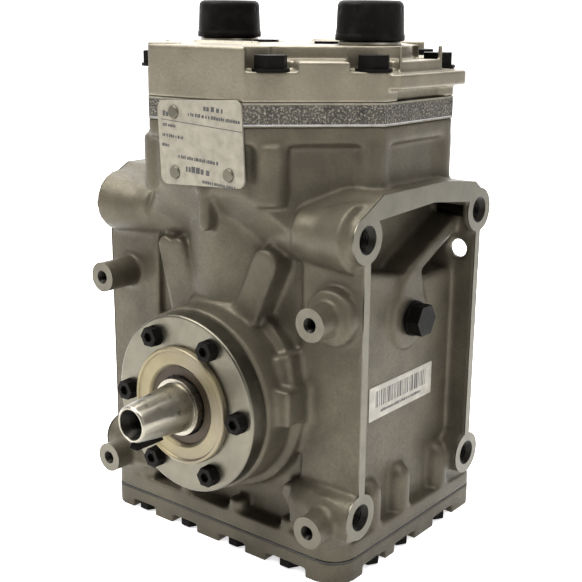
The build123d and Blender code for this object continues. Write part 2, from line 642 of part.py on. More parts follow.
# ================================================================ rotating shaft seal
SEAL_SHAFT_R = 12.0
CARBON_T = 2.6
CARBON_R = 16.2
BELLOWS_FOOT_R = 17.5
BELLOWS_R = 14.5
BELLOWS_WALL = 1.2
SPRING_R = 15.5
SPRING_WIRE_R = 0.4
SPRING_PITCH = 1.15
SPRING_GAP = 0.1
BELLOWS_BACK_Y = BEARING_Y + BEARING_W / 2 + 0.6
CARBON_BACK_Y = SEAT_FACE_Y - CARBON_T

with BuildPart() as seal_carbon_ring:
    with BuildSketch(front_plane(CARBON_BACK_Y)):
        with Locations((0, SHAFT_Z)):
            Circle(CARBON_R)
            Circle(SEAL_SHAFT_R, mode=Mode.SUBTRACT)
    extrude(amount=CARBON_T)
seal_carbon_ring.part.label = "seal_carbon_ring"
export_step(seal_carbon_ring.part, "parts/seal_carbon_ring.step")

with BuildPart() as seal_bellows:
    with BuildSketch(Plane.YZ):
        with BuildLine():
            Polyline((-BELLOWS_BACK_Y, SHAFT_Z + SEAL_SHAFT_R), (-BELLOWS_BACK_Y, SHAFT_Z + BELLOWS_FOOT_R),
                     (-BELLOWS_BACK_Y - BELLOWS_WALL, SHAFT_Z + BELLOWS_FOOT_R),
                     (-BELLOWS_BACK_Y - BELLOWS_WALL, SHAFT_Z + BELLOWS_R),
                     (-CARBON_BACK_Y + BELLOWS_WALL, SHAFT_Z + BELLOWS_R),
                     (-CARBON_BACK_Y + BELLOWS_WALL, SHAFT_Z + CARBON_R),
                     (-CARBON_BACK_Y, SHAFT_Z + CARBON_R), (-CARBON_BACK_Y, SHAFT_Z + SEAL_SHAFT_R),
                     close=True)
        make_face()
    revolve(axis=SHAFT_AXIS)
seal_bellows.part.label = "seal_bellows"
export_step(seal_bellows.part, "parts/seal_bellows.step")

SPRING_START_Y = BELLOWS_BACK_Y + BELLOWS_WALL + SPRING_WIRE_R + SPRING_GAP
SPRING_LENGTH = CARBON_BACK_Y - BELLOWS_WALL - SPRING_WIRE_R - SPRING_GAP - SPRING_START_Y
with BuildPart() as seal_spring:
    with BuildLine() as spring_path:
        Helix(pitch=SPRING_PITCH, height=SPRING_LENGTH, radius=SPRING_R,
              center=(0, -SPRING_START_Y, SHAFT_Z), direction=(0, -1, 0))
    with BuildSketch(Plane(origin=spring_path.line @ 0, z_dir=spring_path.line % 0)):
        Circle(SPRING_WIRE_R)
    sweep()
seal_spring.part.label = "seal_spring"
export_step(seal_spring.part, "parts/seal_spring.step")

# ================================================================ rear bearing cover
COVER_T = 6.5
COVER_CUP_Y = BEARING_Y + BEARING_W / 2 + 3.5
COVER_CUP_R = 33.0
SPIGOT_Y = BEARING_Y - BEARING_W / 2
SPIGOT_GROOVE_R = 36.9
SPIGOT_GROOVE_Y = 51.0
SPIGOT_GROOVE_W = 2.0
SPIGOT_RING_WIRE_R = 0.76
CUP_DRAFT = 6
SPIGOT_GAP = 0.05
REAR_SCREW_COUNT = 8
REAR_SCREW_START = 22.5
REAR_WASHER_R = 5.0
REAR_HEX = 4.0
REAR_HEX_H = 3.6
REAR_SCREW_REACH = 8.0

with BuildPart() as rear_cover:
    with BuildSketch(front_plane(-REAR_FACE_Y)):
        with Locations((0, SHAFT_Z)):
            Circle(REAR_FLANGE_R)
    extrude(amount=-COVER_T)
    with BuildSketch(front_plane(-(REAR_FACE_Y + COVER_T))):
        with Locations((0, SHAFT_Z)):
            Circle(COVER_CUP_R)
    extrude(amount=-(COVER_CUP_Y - REAR_FACE_Y - COVER_T), taper=CUP_DRAFT)
    with BuildSketch(front_plane(-SPIGOT_Y)):
        with Locations((0, SHAFT_Z)):
            Circle(REAR_BORE_R - SPIGOT_GAP)
    extrude(amount=-(REAR_FACE_Y - SPIGOT_Y))
    with BuildSketch(front_plane(-SPIGOT_GROOVE_Y)):
        with Locations((0, SHAFT_Z)):
            Circle(REAR_BORE_R)
            Circle(SPIGOT_GROOVE_R, mode=Mode.SUBTRACT)
    extrude(amount=-SPIGOT_GROOVE_W, mode=Mode.SUBTRACT)
    with BuildSketch(front_plane(-SPIGOT_Y)):
        with Locations((0, SHAFT_Z)):
            Circle(BEARING_R + FIT_GAP)
    extrude(amount=-BEARING_W, mode=Mode.SUBTRACT)
    with BuildSketch(front_plane(-REAR_FACE_Y)):
        with Locations((0, SHAFT_Z)):
            with PolarLocations(REAR_SCREW_R, REAR_SCREW_COUNT, start_angle=REAR_SCREW_START):
                Circle(SCREW_CLEAR_R)
    extrude(amount=-COVER_T, mode=Mode.SUBTRACT)
rear_cover.part.label = "rear_cover"
export_step(rear_cover.part, "parts/rear_cover.step")

with BuildPart() as rear_cover_o_ring:
    with BuildSketch(Plane.YZ):
        with Locations((SPIGOT_GROOVE_Y + SPIGOT_GROOVE_W / 2,
                        SHAFT_Z + SPIGOT_GROOVE_R + SPIGOT_RING_WIRE_R + FIT_GAP)):
            Circle(SPIGOT_RING_WIRE_R)
    revolve(axis=SHAFT_AXIS)
rear_cover_o_ring.part.label = "rear_cover_o_ring"
export_step(rear_cover_o_ring.part, "parts/rear_cover_o_ring.step")

with BuildPart() as rear_cover_screws:
    with BuildSketch(front_plane(-(REAR_FACE_Y - REAR_SCREW_REACH))):
        with Locations((0, SHAFT_Z)):
            with PolarLocations(REAR_SCREW_R, REAR_SCREW_COUNT, start_angle=REAR_SCREW_START):
                Circle(SCREW_SHANK_R)
    extrude(amount=-(COVER_T + REAR_SCREW_REACH))
    with BuildSketch(front_plane(-(REAR_FACE_Y + COVER_T))):
        with Locations((0, SHAFT_Z)):
            with PolarLocations(REAR_SCREW_R, REAR_SCREW_COUNT, start_angle=REAR_SCREW_START):
                Circle(REAR_WASHER_R)
    extrude(amount=-WASHER_T)
    with BuildSketch(front_plane(-(REAR_FACE_Y + COVER_T + WASHER_T))):
        with Locations((0, SHAFT_Z)):
            with PolarLocations(REAR_SCREW_R, REAR_SCREW_COUNT, start_angle=REAR_SCREW_START):
                RegularPolygon(REAR_HEX, 6, major_radius=False)
    extrude(amount=-REAR_HEX_H)
rear_cover_screws.part.label = "rear_cover_screws"
export_step(rear_cover_screws.part, "parts/rear_cover_screws.step")

# ================================================================ main bearings
INNER_RACE_R = 16.5
OUTER_RACE_BORE_R = 22.0
BALL_PITCH_R = 19.25
BALL_R = 3.9
GROOVE_R = 4.0
BALL_COUNT = 9
CAGE_W = 10.0
CAGE_HALF_T = 1.2
CAGE_POCKET_GAP = 0.05
CAGE_POCKET_DEPTH = 6.0

for bearing_name, bearing_y in (("front", -BEARING_Y), ("rear", BEARING_Y)):
    bearing_front = front_plane(-(bearing_y + BEARING_W / 2))

    with BuildPart() as outer_race:
        with BuildSketch(bearing_front):
            with Locations((0, SHAFT_Z)):
                Circle(BEARING_R)
                Circle(OUTER_RACE_BORE_R, mode=Mode.SUBTRACT)
        extrude(amount=BEARING_W)
        with BuildSketch(Plane.YZ):
            with Locations((bearing_y, SHAFT_Z + BALL_PITCH_R)):
                Circle(GROOVE_R)
        revolve(axis=SHAFT_AXIS, mode=Mode.SUBTRACT)
    outer_race.part.label = bearing_name + "_bearing_outer_race"
    export_step(outer_race.part, "parts/" + bearing_name + "_bearing_outer_race.step")

    with BuildPart() as inner_race:
        with BuildSketch(bearing_front):
            with Locations((0, SHAFT_Z)):
                Circle(INNER_RACE_R)
                Circle(JOURNAL_R, mode=Mode.SUBTRACT)
        extrude(amount=BEARING_W)
        with BuildSketch(Plane.YZ):
            with Locations((bearing_y, SHAFT_Z + BALL_PITCH_R)):
                Circle(GROOVE_R)
        revolve(axis=SHAFT_AXIS, mode=Mode.SUBTRACT)
    inner_race.part.label = bearing_name + "_bearing_inner_race"
    export_step(inner_race.part, "parts/" + bearing_name + "_bearing_inner_race.step")

    ball_angles = [2 * math.pi * index / BALL_COUNT for index in range(BALL_COUNT)]
    ball_centres = [(BALL_PITCH_R * math.cos(angle), bearing_y, SHAFT_Z + BALL_PITCH_R * math.sin(angle))
                    for angle in ball_angles]

    with BuildPart() as balls:
        with Locations(*ball_centres):
            Sphere(BALL_R)
    balls.part.label = bearing_name + "_bearing_balls"
    export_step(balls.part, "parts/" + bearing_name + "_bearing_balls.step")

    with BuildPart() as cage:
        with BuildSketch(front_plane(-(bearing_y + CAGE_W / 2))):
            with Locations((0, SHAFT_Z)):
                Circle(BALL_PITCH_R + CAGE_HALF_T)
                Circle(BALL_PITCH_R - CAGE_HALF_T, mode=Mode.SUBTRACT)
        extrude(amount=CAGE_W)
        for angle, centre in zip(ball_angles, ball_centres):
            with Locations(Location(centre, (0, 90 - math.degrees(angle), 0))):
                Cylinder(BALL_R + CAGE_POCKET_GAP, CAGE_POCKET_DEPTH, mode=Mode.SUBTRACT)
    cage.part.label = bearing_name + "_bearing_cage"
    export_step(cage.part, "parts/" + bearing_name + "_bearing_cage.step")

# ================================================================ crankshaft
WEB_PIN_R = 13.0
WEB_HUB_R = 17.0
COUNTERWEIGHT_R = 34.0
COUNTERWEIGHT_W = 56.0
COUNTERWEIGHT_DROP = 19.0
WEB_CLEARANCE = 0.05
PIN_GAP = 8.5
WEB_T = 8.0
OUTER_WEB_Y = CYLINDER_Y + PIN_GAP + WEB_T
NOSE_HOLE_R = 4.8
NOSE_HOLE_DEPTH = 24.0
NOSE_MOUTH_R = 6.6
NOSE_MOUTH_DEPTH = 3.0
NOSE_EDGE = 0.8
SEAL_SHOULDER_R = 12.6
SEAL_SHOULDER_GAP = 0.4
SHOULDER_R = 15.0
CENTRE_HALF_Y = CYLINDER_Y - PIN_GAP - 1
BEARING_INNER_Y = BEARING_Y - BEARING_W / 2
KEY_Y = -98.0
KEY_R = 8.0
KEY_W = 4.6
KEY_DROP = 13.6
KEY_FLAT = 11.2
KEY_SEAT_GAP = 0.05

with BuildPart() as crankshaft:
    # Nose, taper, seal land and front journal as one turned profile
    with BuildSketch(Plane.YZ):
        with BuildLine():
            Polyline((-NOSE_Y, SHAFT_Z), (-NOSE_Y, SHAFT_Z + NOSE_R - NOSE_EDGE),
                     (-NOSE_Y + NOSE_EDGE, SHAFT_Z + NOSE_R),
                     (-TAPER_Y, SHAFT_Z + TAPER_R), (-TAPER_Y, SHAFT_Z + SEAL_SHOULDER_R),
                     (-PLATE_FACE_Y - SEAL_SHOULDER_GAP, SHAFT_Z + SEAL_SHOULDER_R),
                     (-PLATE_FACE_Y - SEAL_SHOULDER_GAP, SHAFT_Z + SEAL_SHAFT_R),
                     (-BELLOWS_BACK_Y, SHAFT_Z + SEAL_SHAFT_R), (-BELLOWS_BACK_Y, SHAFT_Z + JOURNAL_R),
                     (-BEARING_INNER_Y, SHAFT_Z + JOURNAL_R), (-BEARING_INNER_Y, SHAFT_Z + SHOULDER_R),
                     (-OUTER_WEB_Y, SHAFT_Z + SHOULDER_R), (-OUTER_WEB_Y, SHAFT_Z), close=True)
        make_face()
    revolve(axis=SHAFT_AXIS)
    # Rear journal
    with BuildSketch(front_plane(-OUTER_WEB_Y)):
        with Locations((0, SHAFT_Z)):
            Circle(SHOULDER_R)
    extrude(amount=-(BEARING_INNER_Y - OUTER_WEB_Y))
    with BuildSketch(front_plane(-OUTER_WEB_Y)):
        with Locations((0, SHAFT_Z)):
            Circle(JOURNAL_R)
    extrude(amount=-(BEARING_Y + BEARING_W / 2 - OUTER_WEB_Y))
    # Centre journal
    with BuildSketch(front_plane(-CENTRE_HALF_Y)):
        with Locations((0, SHAFT_Z)):
            Circle(SHOULDER_R)
    extrude(amount=2 * CENTRE_HALF_Y)
    for _, pin_y, pin_dz in THROWS:
        # A web with a counterweight on each side of the pin
        for web_low_y in (pin_y - PIN_GAP - WEB_T, pin_y + PIN_GAP):
            with BuildSketch(front_plane(-(web_low_y + WEB_T))):
                with Locations((0, SHAFT_Z)):
                    Circle(COUNTERWEIGHT_R)
                with Locations((0, SHAFT_Z - math.copysign(COUNTERWEIGHT_DROP, pin_dz))):
                    Rectangle(COUNTERWEIGHT_W, 2 * COUNTERWEIGHT_DROP, mode=Mode.INTERSECT)
                with Locations((0, SHAFT_Z)):
                    Circle(WEB_HUB_R)
                with Locations((0, SHAFT_Z + pin_dz)):
                    Circle(WEB_PIN_R)
                with Locations((0, SHAFT_Z + pin_dz / 2)):
                    Rectangle(2 * WEB_PIN_R, THROW)
            extrude(amount=WEB_T)
    # Thread in the nose and the seat of the key
    with BuildSketch(front_plane(NOSE_Y - NOSE_HOLE_DEPTH)):
        with Locations((0, SHAFT_Z)):
            Circle(NOSE_HOLE_R)
    extrude(amount=NOSE_HOLE_DEPTH + 1, mode=Mode.SUBTRACT)
    with Locations(Location((0, -NOSE_Y + NOSE_MOUTH_DEPTH / 2, SHAFT_Z), (90, 0, 0))):
        Cone(NOSE_HOLE_R, NOSE_MOUTH_R, NOSE_MOUTH_DEPTH, mode=Mode.SUBTRACT)
    with Locations(Location((0, KEY_Y, SHAFT_Z - KEY_DROP), (0, 90, 0))):
        Cylinder(KEY_R + KEY_SEAT_GAP, KEY_W + 2 * FIT_GAP, mode=Mode.SUBTRACT)
crankshaft.part.label = "crankshaft"
export_step(crankshaft.part, "parts/crankshaft.step")

with BuildPart() as woodruff_key:
    with Locations(Location((0, KEY_Y, SHAFT_Z - KEY_DROP), (0, 90, 0))):
        Cylinder(KEY_R, KEY_W)
    # The round blank is cut off flat on its outer side
    with Locations((0, KEY_Y, SHAFT_Z - KEY_FLAT - KEY_R)):
        Box(2 * KEY_R, 3 * KEY_R, 2 * KEY_R, mode=Mode.SUBTRACT)
woodruff_key.part.label = "woodruff_key"
export_step(woodruff_key.part, "parts/woodruff_key.step")

# ================================================================ pistons, pins, rings and rods
PISTON_R = BORE_R - 0.08
PISTON_H = 30.0
PISTON_WALL = 3.6
CROWN_T = 6.0
RING_H = 2.0
RING_DEPTHS = (4.5, 9.5)
GROOVE_FLOOR_R = 21.0
PIN_HALF = 19.5
CLIP_T = 1.0
BIG_END_HALF_Y = 8.0
BIG_END_R = 16.0
LUG_HALF_X = 18.4
LUG_HALF_Z = 8.0
ROD_SCREW_X = 14.6
SMALL_END_R = 11.0
BOSS_INNER_Y = 8.8
BOSS_LENGTH = 11.0
BOSS_R = 10.5
BOSS_FLANK_H = 13.0
RING_GAP_H = 0.05
RING_BACK_GAP = 0.3
RING_SPLIT = 0.4
RING_SLOT = 6.0
PIN_FIT = 0.01
PIN_BORE_R = 4.2
CLIP_OUT = 0.7
CLIP_IN = 0.9
CLIP_OPENING = 5.0
CLIP_GAP = 0.1
SHANK_HALF_Y = 5.0
SHANK_LOW_HALF_X = 10.0
SHANK_TOP_HALF_X = 6.5
FLUTE_LOW_HALF_X = 5.5
FLUTE_TOP_HALF_X = 3.6
WEB_HALF_Y = 2.5
ROD_SCREW_R = 2.05
ROD_SCREW_CLEAR_R = 2.1
ROD_HEAD_R = 3.4
ROD_HEAD_CLEAR_R = 3.6
ROD_HEAD_H = 3.0

for cylinder, cylinder_y, pin_dz in THROWS:
    suffix = "_" + str(cylinder)
    crankpin_z = SHAFT_Z + pin_dz
    wrist_z = crankpin_z + ROD_LENGTH
    crown_z = wrist_z + CROWN_HEIGHT
    flute_low_z = crankpin_z + BIG_END_R + 4
    flute_top_z = wrist_z - SMALL_END_R - 3

    with BuildPart() as piston:
        with BuildSketch(Plane.XY.offset(crown_z - PISTON_H)):
            with Locations((0, cylinder_y)):
                Circle(PISTON_R)
        extrude(amount=PISTON_H)
        with BuildSketch(Plane.XY.offset(crown_z - PISTON_H)):
            with Locations((0, cylinder_y)):
                Circle(PISTON_R - PISTON_WALL)
        extrude(amount=PISTON_H - CROWN_T, mode=Mode.SUBTRACT)
        # Pin bosses, one on each side of the rod
        for boss_side in (-1, 1):
            with BuildSketch(front_plane(-(cylinder_y + boss_side * BOSS_INNER_Y))):
                with Locations((0, wrist_z)):
                    Circle(BOSS_R)
                with Locations((0, wrist_z + BOSS_FLANK_H / 2)):
                    Rectangle(2 * BOSS_R, BOSS_FLANK_H)
            extrude(amount=-boss_side * BOSS_LENGTH)
        for ring_depth in RING_DEPTHS:
            with BuildSketch(Plane.XY.offset(crown_z - ring_depth - RING_GAP_H / 2)):
                with Locations((0, cylinder_y)):
                    Circle(BORE_R + 1)
                    Circle(GROOVE_FLOOR_R, mode=Mode.SUBTRACT)
            extrude(amount=RING_H + RING_GAP_H, mode=Mode.SUBTRACT)
        with BuildSketch(front_plane(-(cylinder_y - BORE_R))):
            with Locations((0, wrist_z)):
                Circle(WRIST_PIN_R + PIN_FIT)
        extrude(amount=-2 * BORE_R, mode=Mode.SUBTRACT)
        for clip_side in (-1, 1):
            with BuildSketch(front_plane(-(cylinder_y + clip_side * PIN_HALF))):
                with Locations((0, wrist_z)):
                    Circle(WRIST_PIN_R + CLIP_OUT + CLIP_GAP)
            extrude(amount=-clip_side * (CLIP_T + CLIP_GAP), mode=Mode.SUBTRACT)
    piston.part.label = "piston" + suffix
    export_step(piston.part, "parts/piston" + suffix + ".step")

    with BuildPart() as piston_rings:
        for ring_depth in RING_DEPTHS:
            with BuildSketch(Plane.XY.offset(crown_z - ring_depth)):
                with Locations((0, cylinder_y)):
                    Circle(BORE_R - RUN_CLEARANCE)
                    Circle(GROOVE_FLOOR_R + RING_BACK_GAP, mode=Mode.SUBTRACT)
                with Locations((BORE_R - 1, cylinder_y)):
                    Rectangle(RING_SLOT, RING_SPLIT, mode=Mode.SUBTRACT)
            extrude(amount=RING_H)
    piston_rings.part.label = "piston_rings" + suffix
    export_step(piston_rings.part, "parts/piston_rings" + suffix + ".step")

    with BuildPart() as wrist_pin:
        with BuildSketch(front_plane(-(cylinder_y + PIN_HALF))):
            with Locations((0, wrist_z)):
                Circle(WRIST_PIN_R)
                Circle(PIN_BORE_R, mode=Mode.SUBTRACT)
        extrude(amount=2 * PIN_HALF)
    wrist_pin.part.label = "wrist_pin" + suffix
    export_step(wrist_pin.part, "parts/wrist_pin" + suffix + ".step")

    with BuildPart() as pin_clips:
        for clip_side in (-1, 1):
            with BuildSketch(front_plane(-(cylinder_y + clip_side * (PIN_HALF + CLIP_GAP / 2)))):
                with Locations((0, wrist_z)):
                    Circle(WRIST_PIN_R + CLIP_OUT)
                    Circle(WRIST_PIN_R - CLIP_IN, mode=Mode.SUBTRACT)
                with Locations((0, wrist_z - WRIST_PIN_R)):
                    Rectangle(CLIP_OPENING, CLIP_OPENING, mode=Mode.SUBTRACT)
            extrude(amount=-clip_side * CLIP_T)
    pin_clips.part.label = "pin_clips" + suffix
    export_step(pin_clips.part, "parts/pin_clips" + suffix + ".step")

    # The pin is a piece of its own, clear of the webs, because it stays with its rod
    with BuildPart() as crankpin:
        with BuildSketch(front_plane(-(cylinder_y + PIN_GAP - WEB_CLEARANCE))):
            with Locations((0, crankpin_z)):
                Circle(CRANKPIN_R)
        extrude(amount=2 * (PIN_GAP - WEB_CLEARANCE))
    crankpin.part.label = "crankpin" + suffix
    export_step(crankpin.part, "parts/crankpin" + suffix + ".step")

    with BuildPart() as connecting_rod:
        with BuildSketch(front_plane(-(cylinder_y + BIG_END_HALF_Y))):
            with Locations((0, crankpin_z)):
                Circle(BIG_END_R)
                Rectangle(2 * LUG_HALF_X, 2 * LUG_HALF_Z)
            with Locations((0, crankpin_z - BIG_END_R)):
                Rectangle(3 * BIG_END_R, 2 * BIG_END_R, mode=Mode.SUBTRACT)
            with Locations((0, wrist_z)):
                Circle(SMALL_END_R)
        extrude(amount=2 * BIG_END_HALF_Y)
        with BuildSketch(front_plane(-(cylinder_y + SHANK_HALF_Y))):
            with BuildLine():
                Polyline((-SHANK_LOW_HALF_X, crankpin_z + SHANK_LOW_HALF_X),
                         (SHANK_LOW_HALF_X, crankpin_z + SHANK_LOW_HALF_X),
                         (SHANK_TOP_HALF_X, wrist_z - SHANK_TOP_HALF_X),
                         (-SHANK_TOP_HALF_X, wrist_z - SHANK_TOP_HALF_X), close=True)
            make_face()
        extrude(amount=2 * SHANK_HALF_Y)
        for flute_side in (-1, 1):
            with BuildSketch(front_plane(-(cylinder_y + flute_side * WEB_HALF_Y))):
                with BuildLine():
                    Polyline((-FLUTE_LOW_HALF_X, flute_low_z), (FLUTE_LOW_HALF_X, flute_low_z),
                             (FLUTE_TOP_HALF_X, flute_top_z), (-FLUTE_TOP_HALF_X, flute_top_z),
                             close=True)
                make_face()
            extrude(amount=-flute_side * SHANK_HALF_Y, mode=Mode.SUBTRACT)
        with BuildSketch(front_plane(-(cylinder_y + BIG_END_HALF_Y))):
            with Locations((0, crankpin_z)):
                Circle(CRANKPIN_R + RUN_CLEARANCE)
            with Locations((0, wrist_z)):
                Circle(WRIST_PIN_R + RUN_CLEARANCE)
        extrude(amount=2 * BIG_END_HALF_Y, mode=Mode.SUBTRACT)
        with BuildSketch(Plane.XY.offset(crankpin_z)):
            with Locations((-ROD_SCREW_X, cylinder_y), (ROD_SCREW_X, cylinder_y)):
                Circle(ROD_SCREW_CLEAR_R)
        extrude(amount=LUG_HALF_Z - 1, mode=Mode.SUBTRACT)
    connecting_rod.part.label = "connecting_rod" + suffix
    export_step(connecting_rod.part, "parts/connecting_rod" + suffix + ".step")

    with BuildPart() as rod_cap:
        with BuildSketch(front_plane(-(cylinder_y + BIG_END_HALF_Y))):
            with Locations((0, crankpin_z)):
                Circle(BIG_END_R)
                Rectangle(2 * LUG_HALF_X, 2 * LUG_HALF_Z)
            with Locations((0, crankpin_z + BIG_END_R)):
                Rectangle(3 * BIG_END_R, 2 * BIG_END_R, mode=Mode.SUBTRACT)
            with Locations((0, crankpin_z)):
                Circle(CRANKPIN_R + RUN_CLEARANCE, mode=Mode.SUBTRACT)
        extrude(amount=2 * BIG_END_HALF_Y)
        with BuildSketch(Plane.XY.offset(crankpin_z - LUG_HALF_Z)):
            with Locations((-ROD_SCREW_X, cylinder_y), (ROD_SCREW_X, cylinder_y)):
                Circle(ROD_SCREW_CLEAR_R)
        extrude(amount=LUG_HALF_Z, mode=Mode.SUBTRACT)
        with BuildSketch(Plane.XY.offset(crankpin_z - LUG_HALF_Z)):
            with Locations((-ROD_SCREW_X, cylinder_y), (ROD_SCREW_X, cylinder_y)):
                Circle(ROD_HEAD_CLEAR_R)
        extrude(amount=-BIG_END_R, mode=Mode.SUBTRACT)
    rod_cap.part.label = "rod_cap" + suffix
    export_step(rod_cap.part, "parts/rod_cap" + suffix + ".step")

    with BuildPart() as rod_screws:
        with BuildSketch(Plane.XY.offset(crankpin_z - LUG_HALF_Z)):
            with Locations((-ROD_SCREW_X, cylinder_y), (ROD_SCREW_X, cylinder_y)):
                Circle(ROD_SCREW_R)
        extrude(amount=2 * (LUG_HALF_Z - 1))
        with BuildSketch(Plane.XY.offset(crankpin_z - LUG_HALF_Z - ROD_HEAD_H)):
            with Locations((-ROD_SCREW_X, cylinder_y), (ROD_SCREW_X, cylinder_y)):
                Circle(ROD_HEAD_R)
        extrude(amount=ROD_HEAD_H)
    rod_screws.part.label = "rod_screws" + suffix
    export_step(rod_screws.part, "parts/rod_screws" + suffix + ".step")

# ================================================================ valve plate, reeds and gaskets
VALVE_X = 11.0
VALVE_Y = 7.0
STOP_SCREW_Y = 14.3
SUCTION_PORTS = [(-VALVE_X, side * VALVE_Y) for side in (-1, 1)]
DISCHARGE_PORTS = [(VALVE_X, side * VALVE_Y) for side in (-1, 1)]
SUCTION_PORT_R = 4.2
DISCHARGE_PORT_R = 3.6
BOLT_CLEAR_R = HEAD_BOLT_R + 0.2
STOP_SCREW_R = 1.9
STOP_SCREW_CLEAR_R = 2.1
STOP_TAP_Z = PLATE_Z + 2.5
STOP_SCREW_REACH = 4.0
STOP_HEAD_R = 3.2
STOP_HEAD_H = 2.0
GASKET_BORE_R = BORE_R + 0.4
TONGUE_L = 18.0
TONGUE_W = 10.6
TONGUE_SLOT_W = 12.6
TONGUE_SLOT_DX = 2.0
TONGUE_DX = 3.2
REED_HOLE_GAP = 0.6
DISCHARGE_REED_L = 36.0
DISCHARGE_REED_W = 10.0
STOP_T = 1.8
STOP_RISE = 2.2
STOP_HALF_L = 17.5
STOP_FOOT_Y = 11.0
STOP_FLAT_Y = 6.0
STOP_MITRE = 0.6
HOLE_GAP = 0.05

suction_holes = [(x, cylinder_y + y) for _, cylinder_y, _ in THROWS for x, y in SUCTION_PORTS]
discharge_holes = [(x, cylinder_y + y) for _, cylinder_y, _ in THROWS for x, y in DISCHARGE_PORTS]
stop_screws = [(VALVE_X, cylinder_y + end * STOP_SCREW_Y) for _, cylinder_y, _ in THROWS for end in (-1, 1)]

with BuildPart() as valve_plate_gasket:
    with BuildSketch(Plane.XY.offset(DECK_Z)):
        Polygon(*octagon_points(OCTAGON, OCTAGON_CUT), align=None)
        with Locations((0, -CYLINDER_Y), (0, CYLINDER_Y)):
            Circle(GASKET_BORE_R, mode=Mode.SUBTRACT)
        with Locations(*ALL_HEAD_BOLTS):
            Circle(BOLT_CLEAR_R, mode=Mode.SUBTRACT)
    extrude(amount=GASKET_T)
valve_plate_gasket.part.label = "valve_plate_gasket"
export_step(valve_plate_gasket.part, "parts/valve_plate_gasket.step")

with BuildPart() as suction_reeds:
    with BuildSketch(Plane.XY.offset(REED_Z)):
        Polygon(*octagon_points(OCTAGON, OCTAGON_CUT), align=None)
        with Locations(*ALL_HEAD_BOLTS):
            Circle(BOLT_CLEAR_R, mode=Mode.SUBTRACT)
        # A slot round each tongue leaves it hinged at the end away from the port
        for port_x, port_y in suction_holes:
            with Locations((port_x - TONGUE_SLOT_DX, port_y)):
                Rectangle(TONGUE_L, TONGUE_SLOT_W, mode=Mode.SUBTRACT)
            with Locations((port_x - TONGUE_DX, port_y)):
                Rectangle(TONGUE_L, TONGUE_W)
        with Locations(*discharge_holes):
            Circle(DISCHARGE_PORT_R + REED_HOLE_GAP, mode=Mode.SUBTRACT)
    extrude(amount=REED_T)
suction_reeds.part.label = "suction_reeds"
export_step(suction_reeds.part, "parts/suction_reeds.step")

with BuildPart() as valve_plate:
    with BuildSketch(Plane.XY.offset(PLATE_Z)):
        Polygon(*octagon_points(OCTAGON, OCTAGON_CUT), align=None)
        with Locations(*ALL_HEAD_BOLTS):
            Circle(BOLT_CLEAR_R, mode=Mode.SUBTRACT)
        with Locations(*suction_holes):
            Circle(SUCTION_PORT_R, mode=Mode.SUBTRACT)
        with Locations(*discharge_holes):
            Circle(DISCHARGE_PORT_R, mode=Mode.SUBTRACT)
    extrude(amount=VALVE_PLATE_T)
    with BuildSketch(Plane.XY.offset(STOP_TAP_Z)):
        with Locations(*stop_screws):
            Circle(STOP_SCREW_R)
    extrude(amount=VALVE_PLATE_T, mode=Mode.SUBTRACT)
    with BuildSketch(data_plate_plane.offset(-RIVET_DEPTH)):
        with Locations(*RIVETS):
            Circle(RIVET_R + HOLE_GAP)
    extrude(amount=RIVET_DEPTH, mode=Mode.SUBTRACT)
valve_plate.part.label = "valve_plate"
export_step(valve_plate.part, "parts/valve_plate.step")

with BuildPart() as discharge_reeds:
    with BuildSketch(Plane.XY.offset(PLATE_TOP)):
        for _, cylinder_y, _ in THROWS:
            with Locations((VALVE_X, cylinder_y)):
                SlotOverall(DISCHARGE_REED_L, DISCHARGE_REED_W, rotation=90)
        with Locations(*stop_screws):
            Circle(STOP_SCREW_CLEAR_R, mode=Mode.SUBTRACT)
    extrude(amount=REED_T)
discharge_reeds.part.label = "discharge_reeds"
export_step(discharge_reeds.part, "parts/discharge_reeds.step")

STOP_Z = PLATE_TOP + REED_T
with BuildPart() as discharge_stops:
    for _, cylinder_y, _ in THROWS:
        with BuildSketch(Plane.YZ.offset(VALVE_X - DISCHARGE_REED_W / 2)):
            with Locations((cylinder_y, STOP_Z)):
                # Flat feet joined by a raised middle that limits how far the reed lifts
                Polygon((-STOP_HALF_L, 0), (-STOP_FOOT_Y, 0), (-STOP_FLAT_Y, STOP_RISE),
                        (STOP_FLAT_Y, STOP_RISE), (STOP_FOOT_Y, 0), (STOP_HALF_L, 0),
                        (STOP_HALF_L, STOP_T), (STOP_FOOT_Y - STOP_MITRE, STOP_T),
                        (STOP_FLAT_Y - STOP_MITRE, STOP_RISE + STOP_T),
                        (STOP_MITRE - STOP_FLAT_Y, STOP_RISE + STOP_T),
                        (STOP_MITRE - STOP_FOOT_Y, STOP_T), (-STOP_HALF_L, STOP_T), align=None)
        extrude(amount=DISCHARGE_REED_W)
    with BuildSketch(Plane.XY.offset(STOP_Z)):
        with Locations(*stop_screws):
            Circle(STOP_SCREW_CLEAR_R)
    extrude(amount=STOP_T, mode=Mode.SUBTRACT)
discharge_stops.part.label = "discharge_stops"
export_step(discharge_stops.part, "parts/discharge_stops.step")

with BuildPart() as stop_screw_set:
    with BuildSketch(Plane.XY.offset(PLATE_TOP - STOP_SCREW_REACH)):
        with Locations(*stop_screws):
            Circle(STOP_SCREW_R - HOLE_GAP)
    extrude(amount=STOP_SCREW_REACH + REED_T + STOP_T)
    with BuildSketch(Plane.XY.offset(STOP_Z + STOP_T)):
        with Locations(*stop_screws):
            Circle(STOP_HEAD_R)
    extrude(amount=STOP_HEAD_H)
stop_screw_set.part.label = "discharge_stop_screws"
export_step(stop_screw_set.part, "parts/discharge_stop_screws.step")

